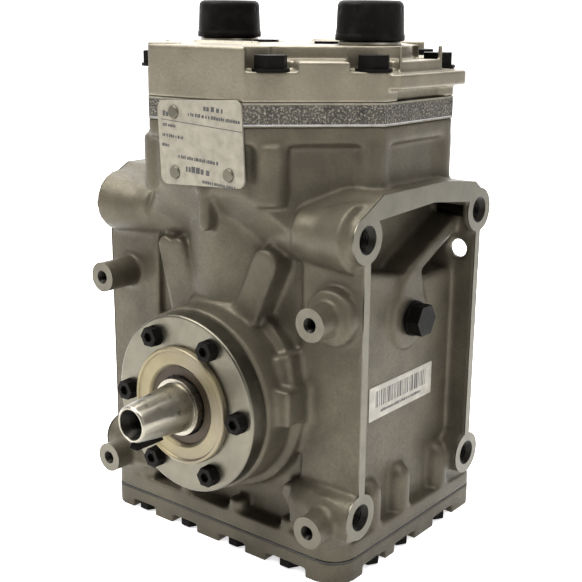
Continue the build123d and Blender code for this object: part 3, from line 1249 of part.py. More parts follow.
# ================================================================ cylinder head
HEAD_WALL = 8.5
STEP_DROP = 5.5
DIVIDER = 5.0
CHAMBER_TOP = 216.0
BOLT_BOSS_R = 8.0
PORT_BORE_R = 9.0
chamber_half = OCTAGON - HEAD_WALL
BRIDGE_W = 8.0
CHAMBER_CORNER = 4.0
LIP_X = OCTAGON - 8
LIP_UNDERSIDE = 5.0
LIP_T = 6.0
UNDERCUT_X = OCTAGON + 4.5
POCKET_W = 21.0
POCKET_L = 18.5
POCKET_R = 3.0
POCKET_REACH = 24.0
CORNER_STEP = 46.0
EDGE_STEP = 62.0
TOWER_R = 18.0
TOWER_CAVITY_R = 14.0
MID_PAD_R = 10.5
BADGE_T = 1.2
ROOF_T = 7.5
FLANGE_T = 1.2
HEX_H = 5.2
OUTER_FLANGE_R = 7.6
OUTER_HEX = 6.0
MID_FLANGE_R = 6.6
MID_HEX = 5.4
HEAD_BOLT_REACH = 20.0


def chamber_outline(side):
    """Outline of the suction (-1) or discharge (+1) chamber, seen from above."""
    flat = OCTAGON - OCTAGON_CUT - CHAMBER_CORNER
    return [(side * DIVIDER, -chamber_half), (side * flat, -chamber_half), (side * chamber_half, -flat),
            (side * chamber_half, flat), (side * flat, chamber_half), (side * DIVIDER, chamber_half)]


with BuildPart() as head_gasket:
    with BuildSketch(Plane.XY.offset(PLATE_TOP)):
        Polygon(*octagon_points(OCTAGON, OCTAGON_CUT), align=None)
        for side in (-1, 1):
            Polygon(*chamber_outline(side), align=None, mode=Mode.SUBTRACT)
        with Locations(*ALL_HEAD_BOLTS):
            Circle(BOLT_BOSS_R)
        Rectangle(2 * MID_BOLT_X, BRIDGE_W)
        with Locations(*ALL_HEAD_BOLTS):
            Circle(BOLT_CLEAR_R, mode=Mode.SUBTRACT)
        Polygon(*octagon_points(OCTAGON, OCTAGON_CUT), align=None, mode=Mode.INTERSECT)
    extrude(amount=HEAD_GASKET_T)
head_gasket.part.label = "head_gasket"
export_step(head_gasket.part, "parts/head_gasket.step")

with BuildPart() as cylinder_head:
    # Body with the outline of the block below it
    with BuildSketch(Plane.XY.offset(HEAD_Z)):
        Polygon(*octagon_points(OCTAGON, OCTAGON_CUT), align=None)
    extrude(amount=HEAD_TOP - HEAD_Z)
    # Lip that overhangs the right side, over an undercut
    with BuildSketch(Plane.XY.offset(HEAD_Z + LIP_UNDERSIDE)):
        with Locations((LIP_X, 4)):
            RectangleRounded(24, 58, 5)
    extrude(amount=LIP_T)
    with BuildSketch(Plane.XY.offset(HEAD_Z)):
        with Locations((UNDERCUT_X, 1)):
            RectangleRounded(14, 38, 4)
    extrude(amount=LIP_UNDERSIDE, mode=Mode.SUBTRACT)
    # Pockets round the perimeter bolts, open to the outside
    with BuildSketch(Plane.XY.offset(HEAD_SEAT_Z)):
        for bolt_x, bolt_y in OUTER_BOLTS:
            bolt_angle = math.degrees(math.atan2(bolt_y, bolt_x))
            facet_angle = 45 * round(bolt_angle / 45)
            with Locations(Location((bolt_x, bolt_y, 0), (0, 0, facet_angle))):
                RectangleRounded(POCKET_L, POCKET_W, POCKET_R)
                with Locations((POCKET_REACH / 2, 0)):
                    Rectangle(POCKET_REACH, POCKET_W)
    extrude(amount=HEAD_TOP - HEAD_SEAT_Z, mode=Mode.SUBTRACT)
    # Lower steps of the plateau between the pockets, front and back
    with BuildSketch(Plane.XY.offset(HEAD_TOP - STEP_DROP)):
        with Locations(Location((CORNER_STEP, -CORNER_STEP, 0), (0, 0, -45)),
                       Location((CORNER_STEP, CORNER_STEP, 0), (0, 0, 45)),
                       Location((-CORNER_STEP, CORNER_STEP, 0), (0, 0, 135))):
            RectangleRounded(30, 34, 3)
        with Locations((EDGE_STEP, 0), (-EDGE_STEP, 0)):
            RectangleRounded(24, 30, 3)
        with Locations((0, EDGE_STEP + 1)):
            RectangleRounded(30, 24, 3)
    extrude(amount=STEP_DROP, mode=Mode.SUBTRACT)
    # Port towers and centre pads
    with BuildSketch(Plane.XY.offset(HEAD_SEAT_Z)):
        with Locations((-PORT_X, 0), (PORT_X, 0)):
            Circle(TOWER_R)
        with Locations((-MID_BOLT_X, 0), (MID_BOLT_X, 0)):
            Circle(MID_PAD_R)
    extrude(amount=HEAD_TOP - HEAD_SEAT_Z)
    with BuildSketch(Plane.XY.offset(MID_SEAT_Z)):
        with Locations((-MID_BOLT_X, 0), (MID_BOLT_X, 0)):
            Circle(MID_RECESS_R)
    extrude(amount=HEAD_TOP - MID_SEAT_Z, mode=Mode.SUBTRACT)
    with BuildSketch(Plane.XY.offset(HEAD_TOP)):
        with Locations((0, 30)):
            Circle(11)
        with Locations((-8, -38)):
            SlotOverall(34, 9)
    extrude(amount=BADGE_T)
    # Suction and discharge chambers with columns left round the bolts
    with BuildSketch(Plane.XY.offset(HEAD_Z)):
        for side in (-1, 1):
            Polygon(*chamber_outline(side), align=None)
        with Locations(*ALL_HEAD_BOLTS):
            Circle(BOLT_BOSS_R, mode=Mode.SUBTRACT)
        Rectangle(2 * MID_BOLT_X, BRIDGE_W, mode=Mode.SUBTRACT)
        with Locations((OCTAGON - 4.5, 2)):
            Rectangle(17, 56, mode=Mode.SUBTRACT)
    extrude(amount=CHAMBER_TOP - ROOF_T - HEAD_Z, mode=Mode.SUBTRACT)
    with BuildSketch(Plane.XY.offset(HEAD_Z + 1)):
        with Locations((-PORT_X, 0), (PORT_X, 0)):
            Circle(TOWER_CAVITY_R)
    extrude(amount=CHAMBER_TOP - HEAD_Z - 1, mode=Mode.SUBTRACT)
    with BuildSketch(Plane.XY.offset(HEAD_Z + 1)):
        with Locations((-PORT_X, 0), (PORT_X, 0)):
            Circle(PORT_BORE_R)
    extrude(amount=HEAD_TOP + BADGE_T - HEAD_Z, mode=Mode.SUBTRACT)
    with BuildSketch(Plane.XY.offset(HEAD_Z)):
        with Locations(*ALL_HEAD_BOLTS):
            Circle(BOLT_CLEAR_R)
    extrude(amount=HEAD_TOP + BADGE_T - HEAD_Z, mode=Mode.SUBTRACT)
cylinder_head.part.label = "cylinder_head"
export_step(cylinder_head.part, "parts/cylinder_head.step")

bolt_seats = [(x, y, HEAD_SEAT_Z, OUTER_FLANGE_R, OUTER_HEX) for x, y in OUTER_BOLTS]
bolt_seats += [(side * MID_BOLT_X, 0, MID_SEAT_Z, MID_FLANGE_R, MID_HEX) for side in (-1, 1)]
with BuildPart() as head_bolts:
    for bolt_x, bolt_y, seat_z, flange_r, hex_r in bolt_seats:
        with BuildSketch(Plane.XY.offset(DECK_Z - HEAD_BOLT_REACH)):
            with Locations((bolt_x, bolt_y)):
                Circle(HEAD_BOLT_R)
        extrude(amount=seat_z - DECK_Z + HEAD_BOLT_REACH)
        with BuildSketch(Plane.XY.offset(seat_z)):
            with Locations((bolt_x, bolt_y)):
                Circle(flange_r)
        extrude(amount=FLANGE_T)
        with BuildSketch(Plane.XY.offset(seat_z + FLANGE_T)):
            with Locations((bolt_x, bolt_y)):
                RegularPolygon(hex_r, 6, major_radius=False)
        extrude(amount=HEX_H)
head_bolts.part.label = "head_bolts"
export_step(head_bolts.part, "parts/head_bolts.step")

# ================================================================ port fittings and caps
SPIGOT_H = 8.0
TURN_COUNT = 6
TURN_PITCH = 1.9
TURN_START = 2.2
TURN_W = 0.9
TURN_DEPTH = 1.0
CAP_DRAFT = 1.5
CAP_EDGE_R = 2.2
CAP_GAP = 0.3

with BuildPart() as port_fittings:
    for side in (-1, 1):
        with BuildSketch(Plane.XY.offset(HEAD_TOP - SPIGOT_H)):
            with Locations((side * PORT_X, 0)):
                Circle(PORT_BORE_R - HOLE_GAP)
        extrude(amount=SPIGOT_H)
        with BuildSketch(Plane.XY.offset(HEAD_TOP)):
            with Locations((side * PORT_X, 0)):
                Circle(COLLAR_R)
        extrude(amount=COLLAR_T)
        with BuildSketch(Plane.XY.offset(HEAD_TOP + COLLAR_T)):
            with Locations((side * PORT_X, 0)):
                Circle(NECK_R)
        extrude(amount=NECK_TOP - HEAD_TOP - COLLAR_T)
        # Thread turns on the neck
        for turn in range(TURN_COUNT):
            with BuildSketch(Plane.XY.offset(HEAD_TOP + COLLAR_T + TURN_START + TURN_PITCH * turn)):
                with Locations((side * PORT_X, 0)):
                    Circle(COLLAR_R)
                    Circle(NECK_R - TURN_DEPTH, mode=Mode.SUBTRACT)
            extrude(amount=TURN_W, mode=Mode.SUBTRACT)
        with BuildSketch(Plane.XY.offset(HEAD_TOP - SPIGOT_H)):
            with Locations((side * PORT_X, 0)):
                Circle(PORT_R)
        extrude(amount=NECK_TOP - HEAD_TOP + SPIGOT_H, mode=Mode.SUBTRACT)
port_fittings.part.label = "port_fittings"
export_step(port_fittings.part, "parts/port_fittings.step")

for cap_name, side in (("left_port_cap", -1), ("right_port_cap", 1)):
    cap_z = HEAD_TOP + COLLAR_T + CAP_GAP
    with BuildPart() as port_cap:
        with BuildSketch(Plane.XY.offset(cap_z)):
            with Locations((side * PORT_X, 0)):
                Circle(CAP_R)
        extrude(amount=CAP_TOP - cap_z, taper=CAP_DRAFT)
        fillet(port_cap.edges().group_by(Axis.Z)[-1], CAP_EDGE_R)
        with BuildSketch(Plane.XY.offset(cap_z)):
            with Locations((side * PORT_X, 0)):
                Circle(NECK_R + CAP_GAP)
        extrude(amount=NECK_TOP - cap_z + CAP_GAP, mode=Mode.SUBTRACT)
    port_cap.part.label = cap_name
    export_step(port_cap.part, "parts/" + cap_name + ".step")

# ================================================================ oil plugs
PAD_H = 2.5
PLUG_SEAL_T = 1.0
PLUG_SEAL_R = 7.4
PLUG_SEAL_BORE_R = 4.7
PLUG_THREAD_R = 4.5
PLUG_REACH = 6.0
PLUG_FLANGE_R = 8.0
PLUG_FLANGE_T = 1.4
PLUG_HEX_H = 5.6

with BuildPart() as oil_plugs:
    for side in (-1, 1):
        with BuildSketch(side_plane(side, CASE_HALF_X - PLUG_REACH)):
            with Locations((side * PLUG_Y, PLUG_Z)):
                Circle(PLUG_THREAD_R)
        extrude(amount=PLUG_REACH + PAD_H + PLUG_SEAL_T)
        with BuildSketch(side_plane(side, CASE_HALF_X + PAD_H + PLUG_SEAL_T)):
            with Locations((side * PLUG_Y, PLUG_Z)):
                Circle(PLUG_FLANGE_R)
        extrude(amount=PLUG_FLANGE_T)
        with BuildSketch(side_plane(side, CASE_HALF_X + PAD_H + PLUG_SEAL_T + PLUG_FLANGE_T)):
            with Locations((side * PLUG_Y, PLUG_Z)):
                RegularPolygon(PLUG_HEX / 2, 6, major_radius=False)
        extrude(amount=PLUG_HEX_H)
oil_plugs.part.label = "oil_plugs"
export_step(oil_plugs.part, "parts/oil_plugs.step")

with BuildPart() as oil_plug_seals:
    for side in (-1, 1):
        with BuildSketch(side_plane(side, CASE_HALF_X + PAD_H)):
            with Locations((side * PLUG_Y, PLUG_Z)):
                Circle(PLUG_SEAL_R)
                Circle(PLUG_SEAL_BORE_R, mode=Mode.SUBTRACT)
        extrude(amount=PLUG_SEAL_T)
oil_plug_seals.part.label = "oil_plug_seals"
export_step(oil_plug_seals.part, "parts/oil_plug_seals.step")

# ================================================================ plates and labels
PLATE_CORNER_R = 3.6
RIVET_HEAD_R = 2.9
RIVET_HEAD_H = 0.9
RIVET_HEAD_TAPER = 25
LABEL_W = 51.0
LABEL_H = 15.5
LABEL_T = 0.25
LABEL_Z = 73.8
LABEL_CORNER_R = 0.6

with BuildPart() as data_plate:
    with BuildSketch(data_plate_plane):
        RectangleRounded(DATA_PLATE_W, DATA_PLATE_H, PLATE_CORNER_R)
        with Locations(*RIVETS):
            Circle(RIVET_R + HOLE_GAP, mode=Mode.SUBTRACT)
    extrude(amount=DATA_PLATE_T)
data_plate.part.label = "data_plate"
export_step(data_plate.part, "parts/data_plate.step")

with BuildPart() as plate_rivets:
    with BuildSketch(data_plate_plane.offset(-RIVET_DEPTH)):
        with Locations(*RIVETS):
            Circle(RIVET_R)
    extrude(amount=RIVET_DEPTH + DATA_PLATE_T)
    with BuildSketch(data_plate_plane.offset(DATA_PLATE_T)):
        with Locations(*RIVETS):
            Circle(RIVET_HEAD_R)
    extrude(amount=RIVET_HEAD_H, taper=RIVET_HEAD_TAPER)
plate_rivets.part.label = "plate_rivets"
export_step(plate_rivets.part, "parts/plate_rivets.step")

with BuildPart() as serial_label:
    with BuildSketch(side_plane(1, CASE_HALF_X)):
        with Locations((0, LABEL_Z)):
            RectangleRounded(LABEL_W, LABEL_H, LABEL_CORNER_R)
    extrude(amount=LABEL_T)
serial_label.part.label = "serial_label"
export_step(serial_label.part, "parts/serial_label.step")
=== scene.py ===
import json
import math
import random

import bmesh
import bpy
import numpy as np
from mathutils import Matrix, Vector

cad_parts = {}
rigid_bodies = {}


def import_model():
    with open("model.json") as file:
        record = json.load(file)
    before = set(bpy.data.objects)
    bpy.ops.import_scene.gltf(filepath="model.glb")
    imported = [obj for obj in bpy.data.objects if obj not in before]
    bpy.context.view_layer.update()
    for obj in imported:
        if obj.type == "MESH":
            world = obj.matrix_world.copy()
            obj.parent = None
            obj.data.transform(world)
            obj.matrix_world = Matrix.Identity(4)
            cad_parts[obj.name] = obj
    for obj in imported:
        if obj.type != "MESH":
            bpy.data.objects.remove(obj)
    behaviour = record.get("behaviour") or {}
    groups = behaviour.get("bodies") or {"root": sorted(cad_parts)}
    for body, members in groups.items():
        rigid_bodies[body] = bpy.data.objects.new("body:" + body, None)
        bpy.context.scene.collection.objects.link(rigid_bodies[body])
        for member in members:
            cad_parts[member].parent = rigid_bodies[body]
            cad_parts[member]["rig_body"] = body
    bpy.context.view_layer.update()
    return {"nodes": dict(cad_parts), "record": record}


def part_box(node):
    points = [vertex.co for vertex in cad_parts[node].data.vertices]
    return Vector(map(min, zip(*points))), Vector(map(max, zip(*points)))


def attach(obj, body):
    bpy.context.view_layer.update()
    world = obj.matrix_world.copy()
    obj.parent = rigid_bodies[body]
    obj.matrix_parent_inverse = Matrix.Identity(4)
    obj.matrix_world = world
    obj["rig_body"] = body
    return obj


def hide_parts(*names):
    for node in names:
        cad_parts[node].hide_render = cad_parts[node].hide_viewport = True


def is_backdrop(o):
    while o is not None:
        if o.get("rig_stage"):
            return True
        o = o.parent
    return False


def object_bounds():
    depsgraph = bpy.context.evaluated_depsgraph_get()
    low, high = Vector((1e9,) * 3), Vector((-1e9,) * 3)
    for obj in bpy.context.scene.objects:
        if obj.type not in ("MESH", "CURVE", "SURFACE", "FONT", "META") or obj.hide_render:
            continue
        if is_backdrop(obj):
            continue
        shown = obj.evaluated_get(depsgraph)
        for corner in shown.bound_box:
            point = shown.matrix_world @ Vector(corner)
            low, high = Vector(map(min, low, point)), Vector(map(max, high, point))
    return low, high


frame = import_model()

# Looks of an upright two-cylinder compressor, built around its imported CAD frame.
# Metres, +Z up, shaft nose towards -Y.

nodes = frame["nodes"]
slots = {part["node"]: part["material_slot"] for part in frame["record"]["subparts"]}
mounts = {mount["name"]: mount for mount in frame["record"]["mounts"]}
MM = 0.001


# ================================================================ materials
RING_PITCH = 0.6 * MM
# The range that holds most of a noise, and its middle part
MOST = (0.3, 0.7)
MIDDLE = (0.35, 0.65)


def set_range(node, low, high, out_low, out_high):
    """Makes a map range node stretch low to high over out_low to out_high."""
    limits = (("From Min", low), ("From Max", high), ("To Min", out_low), ("To Max", out_high))
    for socket, number in limits:
        node.inputs[socket].default_value = number


def scaled(tint, share):
    return tuple(channel * share for channel in tint)


class Look:
    """A node-based material, made step by step. Noise sizes and bump depths are in millimetres."""

    def __init__(self, name, metallic, roughness, **sockets):
        self.material = bpy.data.materials.new(name)
        self.material.use_nodes = True
        self.tree = self.material.node_tree
        self.shader = self.tree.nodes["Principled BSDF"]
        self.shader.inputs["Metallic"].default_value = metallic
        self.shader.inputs["Roughness"].default_value = roughness
        for socket, value in sockets.items():
            self.shader.inputs[socket.replace("_", " ")].default_value = value
        self.place = self.node("ShaderNodeTexCoord").outputs["Object"]
        self.normal = None

    def node(self, kind, **settings):
        made = self.tree.nodes.new(kind)
        for key, value in settings.items():
            setattr(made, key, value)
        return made

    def put(self, socket, value):
        """Links value if it is a socket, and sets it otherwise."""
        if isinstance(value, bpy.types.NodeSocket):
            self.tree.links.new(value, socket)
        else:
            socket.default_value = value

    def noise(self, size, detail=2.0, stretch=(1, 1, 1)):
        """Noise from 0 to 1 with blobs about size across, longer along an axis whose stretch is under 1."""
        mapping = self.node("ShaderNodeMapping")
        self.put(mapping.inputs["Vector"], self.place)
        mapping.inputs["Scale"].default_value = stretch
        made = self.node("ShaderNodeTexNoise")
        self.put(made.inputs["Vector"], mapping.outputs["Vector"])
        made.inputs["Scale"].default_value = 1 / (size * MM)
        made.inputs["Detail"].default_value = detail
        return made.outputs[0]

    def radius(self, centre):
        """Distance in metres from an axis along Y through centre."""
        moved = self.node("ShaderNodeVectorMath", operation="SUBTRACT")
        self.put(moved.inputs[0], self.place)
        moved.inputs[1].default_value = centre
        flat = self.node("ShaderNodeVectorMath", operation="MULTIPLY")
        self.put(flat.inputs[0], moved.outputs[0])
        flat.inputs[1].default_value = (1, 0, 1)
        length = self.node("ShaderNodeVectorMath", operation="LENGTH")
        self.put(length.inputs[0], flat.outputs[0])
        return length.outputs["Value"]

    def math(self, operation, a, b=0.0):
        made = self.node("ShaderNodeMath", operation=operation)
        self.put(made.inputs[0], a)
        self.put(made.inputs[1], b)
        return made.outputs[0]

    def levels(self, value, low, high, out_low=0.0, out_high=1.0):
        """value from low to high, stretched to out_low to out_high and held there outside."""
        made = self.node("ShaderNodeMapRange")
        self.put(made.inputs["Value"], value)
        set_range(made, low, high, out_low, out_high)
        return made.outputs["Result"]

    def blend(self, share, first, second):
        """Colour first where share is 0 and second where it is 1."""
        made = self.node("ShaderNodeMix", data_type="RGBA")
        self.put(made.inputs[0], share)
        for socket, colour in ((made.inputs[6], first), (made.inputs[7], second)):
            self.put(socket, colour if isinstance(colour, bpy.types.NodeSocket) else (*colour, 1))
        return made.outputs[2]

    def bump(self, height, depth):
        """Relief of depth where height goes from 0 to 1, on top of the relief made before."""
        made = self.node("ShaderNodeBump")
        made.inputs["Distance"].default_value = depth * MM
        self.put(made.inputs["Height"], height)
        if self.normal:
            self.put(made.inputs["Normal"], self.normal)
        self.normal = made.outputs["Normal"]
        self.put(self.shader.inputs["Normal"], self.normal)

    def colour(self, value):
        self.put(self.shader.inputs["Base Color"], value)

    def gloss(self, value):
        self.put(self.shader.inputs["Roughness"], value)


def casting(name, light, dark, metallic, rough):
    """Bare die-cast aluminium: a fine skin, faint flow marks and slow changes of tint."""
    look = Look(name, metallic, sum(rough) / 2, IOR=1.25)
    skin = look.noise(1.1, 3.0)
    drift = look.noise(16, 3.0)
    flow = look.noise(7, 2.0, (1, 1, 0.35))
    tint = look.blend(look.levels(drift, *MIDDLE), dark, light)
    tint = look.blend(look.levels(flow, 0.55, 0.75, 0.0, 0.35), tint, scaled(light, 1.12))
    look.colour(look.blend(look.levels(skin, *MOST, 0.0, 0.22), tint, scaled(dark, 0.55)))
    look.gloss(look.levels(skin, *MOST, *rough))
    look.bump(look.noise(9, 1.0), 0.10)
    look.bump(skin, 0.09)
    return look.material


def machined(name, tint, centre=None, rough=(0.3, 0.42), lay=(1.0, 0.12, 1.0)):
    """A milled face with tool marks along lay, or a turned one with rings round its centre."""
    look = Look(name, 1.0, sum(rough) / 2)
    if centre:
        marks = look.math("SINE", look.math("MULTIPLY", look.radius(centre), 2 * math.pi / RING_PITCH))
        marks = look.levels(marks, -1.0, 1.0)
    else:
        marks = look.noise(0.9, 2.0, lay)
    stain = look.noise(11, 3.0)
    look.colour(look.blend(look.levels(stain, 0.35, 0.7), tint, scaled(tint, 0.82)))
    look.gloss(look.levels(look.noise(3, 3.0), *MOST, *rough))
    look.bump(marks, 0.008)
    return look.material


def plain_metal(name, tint, metallic, rough, **sockets):
    """A small metal piece: slight unevenness of tint and gloss, and a fine grain."""
    look = Look(name, metallic, sum(rough) / 2, **sockets)
    uneven = look.noise(4, 3.0)
    look.colour(look.blend(look.levels(uneven, *MOST), tint, scaled(tint, 0.72)))
    look.gloss(look.levels(uneven, *MOST, *rough))
    look.bump(look.noise(0.9, 2.0), 0.01)
    return look.material


def yellow_zinc(name, centre=None):
    """Zinc plate with a yellow chromate film, and painted shade in dark brown within DISH_R of its centre
    if it has one.
    """
    look = Look(name, 0.6, 0.3, IOR=1.3)
    film = look.noise(14, 1.0)
    tint = look.blend(look.levels(film, *MIDDLE), (0.172, 0.146, 0.084), (0.148, 0.124, 0.072))
    tint = look.blend(look.levels(look.noise(30, 1.0), 0.45, 0.7), tint, (0.143, 0.122, 0.090))
    if centre:
        past_painted_shade = look.levels(look.radius(centre), DISH_R - DISH_FADE, DISH_R)
        # Painted shade: dark brown inside DISH_R less DISH_FADE, fading out to the film's tint at DISH_R
        tint = look.blend(past_painted_shade, (0.030, 0.021, 0.013), tint)
    look.colour(tint)
    look.gloss(look.levels(look.noise(4, 3.0), *MOST, 0.36, 0.48))
    look.bump(look.noise(1.2, 2.0), 0.006)
    return look.material


def speckled_iron(name):
    """The dark phosphated plate, its edge sprinkled with bright grains."""
    look = Look(name, 0.55, 0.5, Specular_IOR_Level=0.4)
    grains = look.levels(look.noise(0.8, 2.0), 0.50, 0.68)
    patches = look.levels(look.noise(6, 2.0), *MOST)
    soil = look.blend(patches, (0.020, 0.018, 0.015), (0.055, 0.050, 0.040))
    look.colour(look.blend(grains, soil, (0.17, 0.155, 0.125)))
    look.gloss(look.levels(grains, 0.0, 1.0, 0.62, 0.38))
    look.bump(look.noise(1.3, 2.0), 0.12)
    return look.material


def moulded(name, tint, rough, grain=0.7, depth=0.015, **sockets):
    """Moulded plastic or rubber with a fine grain and a little dust."""
    look = Look(name, 0.0, sum(rough) / 2, **sockets)
    dust = look.levels(look.noise(6, 4.0), 0.45, 0.8)
    look.colour(look.blend(dust, tint, tuple(channel * 1.6 + 0.003 for channel in tint)))
    look.gloss(look.levels(look.noise(3, 3.0), *MOST, *rough))
    look.bump(look.noise(grain, 2.0), depth)
    return look.material


SHAFT_AXIS = Vector(mounts["clutch_coil_mount"]["pos_m"])
# Radius of the painted shade round the shaft on the shield, and the width it fades over
DISH_R = 18.3 * MM
DISH_FADE = 1.2 * MM
looks = {
    "cast_aluminium": casting("cast_aluminium", (0.079, 0.069, 0.049), (0.057, 0.0495, 0.035), 0.45,
                              (0.42, 0.56)),
    "head_casting": casting("head_casting", (0.172, 0.152, 0.113), (0.135, 0.119, 0.089), 0.70,
                            (0.36, 0.50)),
    "machined_aluminium": machined("machined_aluminium", (0.112, 0.104, 0.080), SHAFT_AXIS),
    "milled_face": machined("milled_face", (0.094, 0.087, 0.068)),
    "plate_steel": speckled_iron("plate_steel"),
    "liner_iron": plain_metal("liner_iron", (0.30, 0.29, 0.28), 0.9, (0.35, 0.5)),
    "crank_steel": machined("crank_steel", (0.24, 0.222, 0.180), None, (0.26, 0.34), (0.1, 1.0, 0.1)),
    "bearing_steel": plain_metal("bearing_steel", (0.62, 0.62, 0.63), 1.0, (0.12, 0.2)),
    "black_steel": plain_metal("black_steel", (0.004, 0.0036, 0.003), 0.0, (0.38, 0.52), IOR=1.12),
    "zinc_yellow": yellow_zinc("zinc_yellow"),
    "spring_steel": plain_metal("spring_steel", (0.40, 0.40, 0.42), 1.0, (0.25, 0.35)),
    "gasket_fibre": moulded("gasket_fibre", (0.030, 0.029, 0.026), (0.75, 0.9), grain=0.5, depth=0.06),
    "seal_rubber": moulded("seal_rubber", (0.015, 0.015, 0.015), (0.6, 0.75)),
    "carbon": moulded("carbon", (0.03, 0.03, 0.032), (0.35, 0.5)),
    "cap_plastic": moulded("cap_plastic", (0.004, 0.0035, 0.003), (0.38, 0.50), IOR=1.12),
    "fitting_metal": plain_metal("fitting_metal", (0.30, 0.28, 0.23), 1.0, (0.28, 0.4)),
    "plate_foil": plain_metal("plate_foil", (0.200, 0.182, 0.140), 0.3, (0.48, 0.6)),
    "label_paper": moulded("label_paper", (0.22, 0.207, 0.175), (0.5, 0.65), depth=0.005),
    # The shield's zinc, with painted shade round the shaft
    "shield_zinc": yellow_zinc("shield_zinc", SHAFT_AXIS),
    "gasket_steel": plain_metal("gasket_steel", (0.20, 0.185, 0.145), 0.8, (0.4, 0.55)),
    # Near-black hole walls: painted shade inside the tapped holes and the shaft's nose
    "bore_thread": plain_metal("bore_thread", (0.010, 0.009, 0.007), 0.9, (0.35, 0.5)),
    "print_ink": moulded("print_ink", (0.016, 0.015, 0.014), (0.5, 0.6)),
}


def paint(piece, look):
    piece.data.materials.clear()
    piece.data.materials.append(looks[look])


for node, cad in nodes.items():
    paint(cad, slots[node])
for node in ("head_gasket", "valve_plate_gasket"):
    paint(nodes[node], "gasket_steel")


# ================================================================ making pieces
WELD_DISTANCE = 0.002 * MM
FLAT_ANGLE = math.radians(1.0)
EDGE_ANGLE = math.radians(40)
EDGE_SEGMENTS = 2
SHEET_EDGE_ANGLE = math.radians(30)
THREAD_EDGE_ANGLE = math.radians(35)
GRID_FREEDOM = 0.6
GRID_ROUNDS = 2
FLAT_CRISP = (0.5 * MM, 2.2 * MM)


def new_piece(name, mesh):
    piece = bpy.data.objects.new(name, mesh)
    bpy.context.scene.collection.objects.link(piece)
    return piece


def settle(piece):
    """Applies the piece's modifiers."""
    bpy.context.view_layer.update()
    done = piece.evaluated_get(bpy.context.evaluated_depsgraph_get())
    mesh = bpy.data.meshes.new_from_object(done)
    piece.modifiers.clear()
    piece.data = mesh


def reshape(mesh, change):
    """Runs change on the mesh as a bmesh."""
    work = bmesh.new()
    work.from_mesh(mesh)
    change(work)
    work.to_mesh(mesh)
    work.free()


def weld(work):
    bmesh.ops.remove_doubles(work, verts=work.verts, dist=WELD_DISTANCE)


def copy_of(node, suffix):
    piece = new_piece(node + suffix, nodes[node].data.copy())
    reshape(piece.data, weld)
    return piece


def hand_over(piece, node):
    """piece stands for the CAD node, on its body and in its finish."""
    paint(piece, slots[node])
    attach(piece, nodes[node]["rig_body"])
    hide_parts(node)
    return piece


def add_on(piece, node, look):
    """piece is a detail on the CAD node."""
    paint(piece, look)
    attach(piece, nodes[node]["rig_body"])


def soften(node, width):
    """The node with a small round on each sharp edge."""
    piece = copy_of(node, "_finished")

    def dissolve(work):
        bmesh.ops.dissolve_limit(work, angle_limit=FLAT_ANGLE, verts=work.verts, edges=work.edges)

    reshape(piece.data, dissolve)
    piece.data.shade_smooth()
    bevel = piece.modifiers.new("edges", "BEVEL")
    bevel.width = width
    bevel.segments = EDGE_SEGMENTS
    bevel.limit_method = "ANGLE"
    bevel.angle_limit = EDGE_ANGLE
    bevel.use_clamp_overlap = True
    normals = piece.modifiers.new("flat_faces", "WEIGHTED_NORMAL")
    normals.keep_sharp = True
    settle(piece)
    return hand_over(piece, node)


def points_of(mesh):
    flat = np.empty(len(mesh.vertices) * 3)
    mesh.vertices.foreach_get("co", flat)
    return flat.reshape(-1, 3)


def set_points(mesh, points):
    mesh.vertices.foreach_set("co", points.ravel())
    mesh.update()


def relax(mesh, points, freedom, rounds):
    """Moves each point half way to its neighbours' mean, times its freedom, some rounds over."""
    ends = np.empty(len(mesh.edges) * 2, np.int64)
    mesh.edges.foreach_get("vertices", ends)
    first, second = ends.reshape(-1, 2).T
    count = np.bincount(first, minlength=len(points)) + np.bincount(second, minlength=len(points))
    for _ in range(rounds):
        mean = np.empty_like(points)
        for axis in range(3):
            total = np.bincount(first, points[second, axis], len(points))
            total += np.bincount(second, points[first, axis], len(points))
            mean[:, axis] = total / count
        points = points + 0.5 * freedom[:, None] * (mean - points)
    return points


def smooth_step(value, low, high):
    share = np.clip((value - low) / (high - low), 0, 1)
    return share * share * (3 - 2 * share)


def crisp_planes(*heights):
    """Freedom that keeps the casting flat and crisp where it meets its neighbours at those heights."""
    def freedom(points):
        free = np.ones(len(points))
        for height in heights:
            free *= smooth_step(np.abs(points[:, 2] - height), *FLAT_CRISP)
        return free
    return freedom


def cast_skin(node, voxel, rounds, freedom=None, settle_on=None):
    """The node as it comes from the mould: every edge and corner rounded, except where freedom is 0."""
    piece = copy_of(node, "_casting")
    grid = piece.modifiers.new("grid", "REMESH")
    grid.mode = "VOXEL"
    grid.voxel_size = voxel
    settle(piece)
    points = points_of(piece.data)
    free = np.ones(len(points)) if freedom is None else freedom(points)
    points = relax(piece.data, points, np.full(len(points), GRID_FREEDOM), GRID_ROUNDS)
    points = relax(piece.data, points, free, rounds)
    if settle_on is not None:
        points = settle_on(points)
    set_points(piece.data, points)
    piece.data.shade_smooth()
    hand_over(piece, node)


def cut_faces(node, suffix, chosen):
    """The chosen faces of the node alone, for what the machine tools cut."""
    piece = copy_of(node, suffix)

    def keep(work):
        unwanted = [face for face in work.faces if not chosen(face)]
        bmesh.ops.delete(work, geom=unwanted, context="FACES")

    reshape(piece.data, keep)
    return piece


def thicken(piece, thickness):
    """Gives an open sheet a thickness, inwards."""
    solid = piece.modifiers.new("depth", "SOLIDIFY")
    solid.thickness = thickness
    solid.offset = -1
    settle(piece)
    piece.data.set_sharp_from_angle(angle=SHEET_EDGE_ANGLE)


